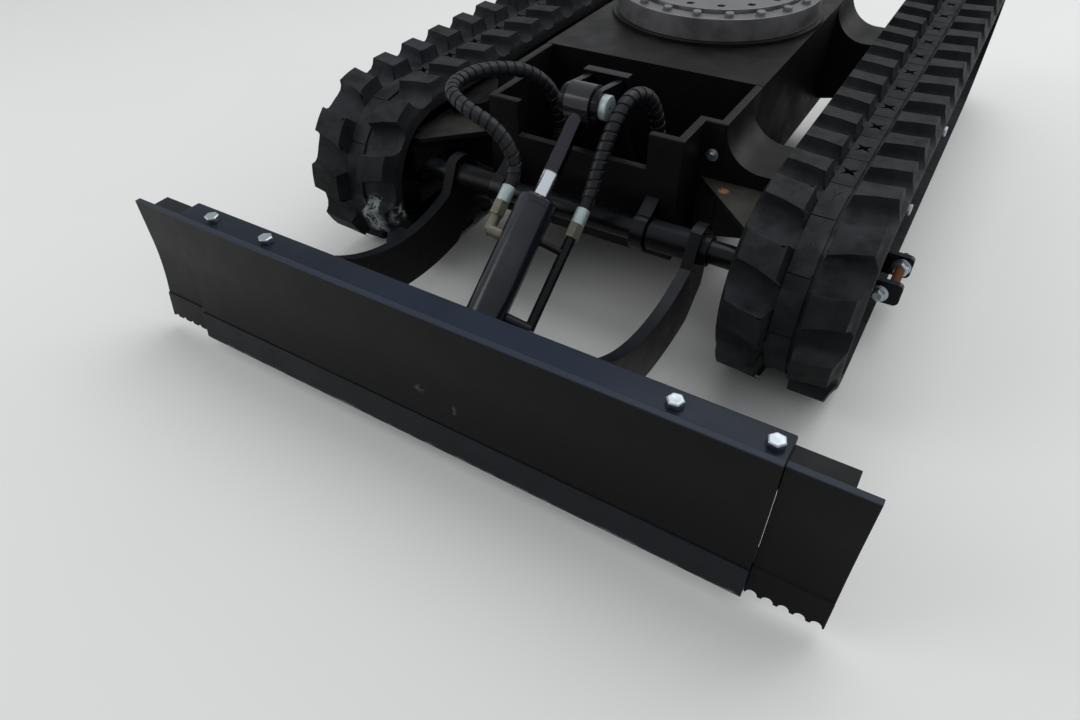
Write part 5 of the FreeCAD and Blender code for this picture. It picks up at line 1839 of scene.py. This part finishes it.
@dataclass
class Fasteners:
    """The bolts of the whole object."""

    blade_bolt_x: Sequence[float] = (-360, -260, 300, 400)
    blade_bolt_seat: tuple[float, float] = (42, 216)
    step_bolt: Point = (165, 460, 254)
    frame_face: float = 405.0
    frame_bolt_seats: Sequence[tuple[float, float]] = ((753, 87), (1040, 100))
    lug_bolt: Point = (419.5, 524, 73.5)
    ring_y: float = 130.204
    ring_top: float = 340.0
    ring_radius: float = 159.0
    ring_count: int = 20
    hub_x: float = 351.0
    hub_y: float = 598.204
    hub_z: float = 143.592
    hub_radius: float = 82.0
    hub_count: int = 9

    @staticmethod
    def _circle(count: int, radius: float, shift: float = 0.0) -> Iterator[tuple[float, float]]:
        """Points evenly round a circle; the shift is a share of their spacing."""
        for angle in (2 * math.pi * (index + shift) / count for index in range(count)):
            yield radius * math.cos(angle), radius * math.sin(angle)

    def build(self, shop: Shop) -> None:
        """Make every set of bolts.

        Args:
            shop: The finishes.
        """
        sides = [(sign, Vector((sign, 0, 0))) for sign in (1, -1)]
        blade = [(at(x, *self.blade_bolt_seat), UP) for x in self.blade_bolt_x]
        step, lug = (
            [(at(sign * x, setback, height), FRONT) for sign, _ in sides]
            for x, setback, height in (self.step_bolt, self.lug_bolt)
        )
        side = [
            (at(sign * self.frame_face, *seat), out) for sign, out in sides for seat in self.frame_bolt_seats
        ]
        ring = [
            (Vector((x, self.ring_y + y, self.ring_top)) * MM, UP)
            for x, y in self._circle(self.ring_count, self.ring_radius, 0.5)
        ]
        hub = [
            (Vector((sign * self.hub_x, self.hub_y + y, self.hub_z + z)) * MM, out)
            for sign, out in sides for y, z in self._circle(self.hub_count, self.hub_radius)
        ]
        for name, body, bolt, seats, material in (
            ("blade_bolts", Body.BLADE, HexBolt(17, 8.5), blade, shop.zinc),
            ("step_bolts", Body.UNDERCARRIAGE, HexBolt(10, 5, 1.2, 9), step, shop.zinc),
            ("frame_bolts", Body.UNDERCARRIAGE, HexBolt(17, 8, 1.8, 14), side + lug, shop.zinc),
            ("slew_ring_bolts", Body.UNDERCARRIAGE, HexBolt(13, 6, 0.8, 8.5), ring, shop.dull_zinc),
            ("sprocket_bolts", Body.UNDERCARRIAGE, HexBolt(13, 6, 1.2, 9.5), hub, shop.dull_zinc),
        ):
            Fastening(name, body, bolt, seats).build(material)


@dataclass
class LugRods:
    """The rusty threaded rods through the lugs outside the frames, each with its nut and washer."""

    x: float = 434.0
    height: float = 77.0
    front_setback: float = 534.0
    rear_lug: float = 600.0
    tail: float = 632.8
    thread_radius: float = 7.0
    thread_depth: float = 0.75
    thread_pitch: float = 2.0
    thread_start: float = 0.4
    flank: float = 0.8
    tip_length: float = 1.4
    tip_inset: float = 1.6

    def build(self, shop: Shop) -> None:
        """Make both rods and their nuts.

        Args:
            shop: The finishes.
        """
        rod, nut = self._rod(), HexBolt(21, 10, 2.4, 14).build()
        rods, nuts = [], []
        for sign in (1, -1):
            start = at(sign * self.x, self.front_setback, self.height)
            seat = at(sign * self.x, self.rear_lug, self.height)
            rods.append(Bench.copied(rod, Bench.facing(start, REAR), f"rod_{sign}"))
            nuts.append(Bench.copied(nut, Bench.facing(seat, FRONT), f"nut_{sign}"))
        Bench.discard(rod)
        Bench.discard(nut)
        Bench.dressed(Bench.joined(rods, "lug_rods"), Body.UNDERCARRIAGE, shop.rust, Slot.STEEL)
        Bench.dressed(Bench.joined(nuts, "lug_nuts"), Body.UNDERCARRIAGE, shop.zinc, Slot.ZINC)

    def _rod(self) -> Piece:
        """Turn the pattern rod with its thread.

        Returns:
            The rod along Z.
        """
        length = self.tail - self.front_setback
        low = self.thread_radius - self.thread_depth
        profile = [(0, 0), (low, 0)]
        for index in range(int(length / self.thread_pitch) - 1):
            start = self.thread_start + index * self.thread_pitch
            crest, end = start + self.flank, start + 2 * self.flank
            profile += [(low, start), (self.thread_radius, crest), (low, end)]
        profile += [(low, length - self.tip_length), (low - self.tip_inset, length), (0, length)]
        rod = Bench.turned(profile, 20, "lug_rod_pattern")
        Bench.smooth(rod, 40)
        return rod


@dataclass
class PinWasher:
    """The pale washer on the rod pin, outside its bracket."""

    start: float = 28.4
    end: float = 38.9
    radius: float = 16.6
    bore: float = 2.4
    chamfer: float = 0.6
    outer_chamfer: float = 1.2
    setback: float = 398.0
    height: float = 316.0

    def build(self, shop: Shop) -> None:
        """Make the washer.

        Args:
            shop: The finishes.
        """
        length, bore, radius = self.end - self.start, self.bore, self.radius
        small, large = self.chamfer, self.outer_chamfer
        washer = Bench.turned([
            (bore, 0), (radius - small, 0), (radius, small), (radius, length - large),
            (radius - large, length), (bore + small, length), (bore, length - small), (bore, 0),
        ], 48, "rod_pin_washer")
        washer.data.transform(Bench.facing(at(self.start, self.setback, self.height), Vector((1, 0, 0))))
        Bench.smooth(washer, 35)
        Bench.dressed(washer, Body.UNDERCARRIAGE, shop.pale_zinc, Slot.ZINC)


def main() -> None:
    """Build every sub-assembly in order and report the pieces."""
    logging.basicConfig(level=logging.INFO, format="%(message)s")
    Studio().build()
    shop = Shop()
    Hoses().build(shop)
    Track().build(shop)
    Dressing().build(shop)
    Fasteners().build(shop)
    LugRods().build(shop)
    PinWasher().build(shop)


if __name__ == "__main__":
    main()
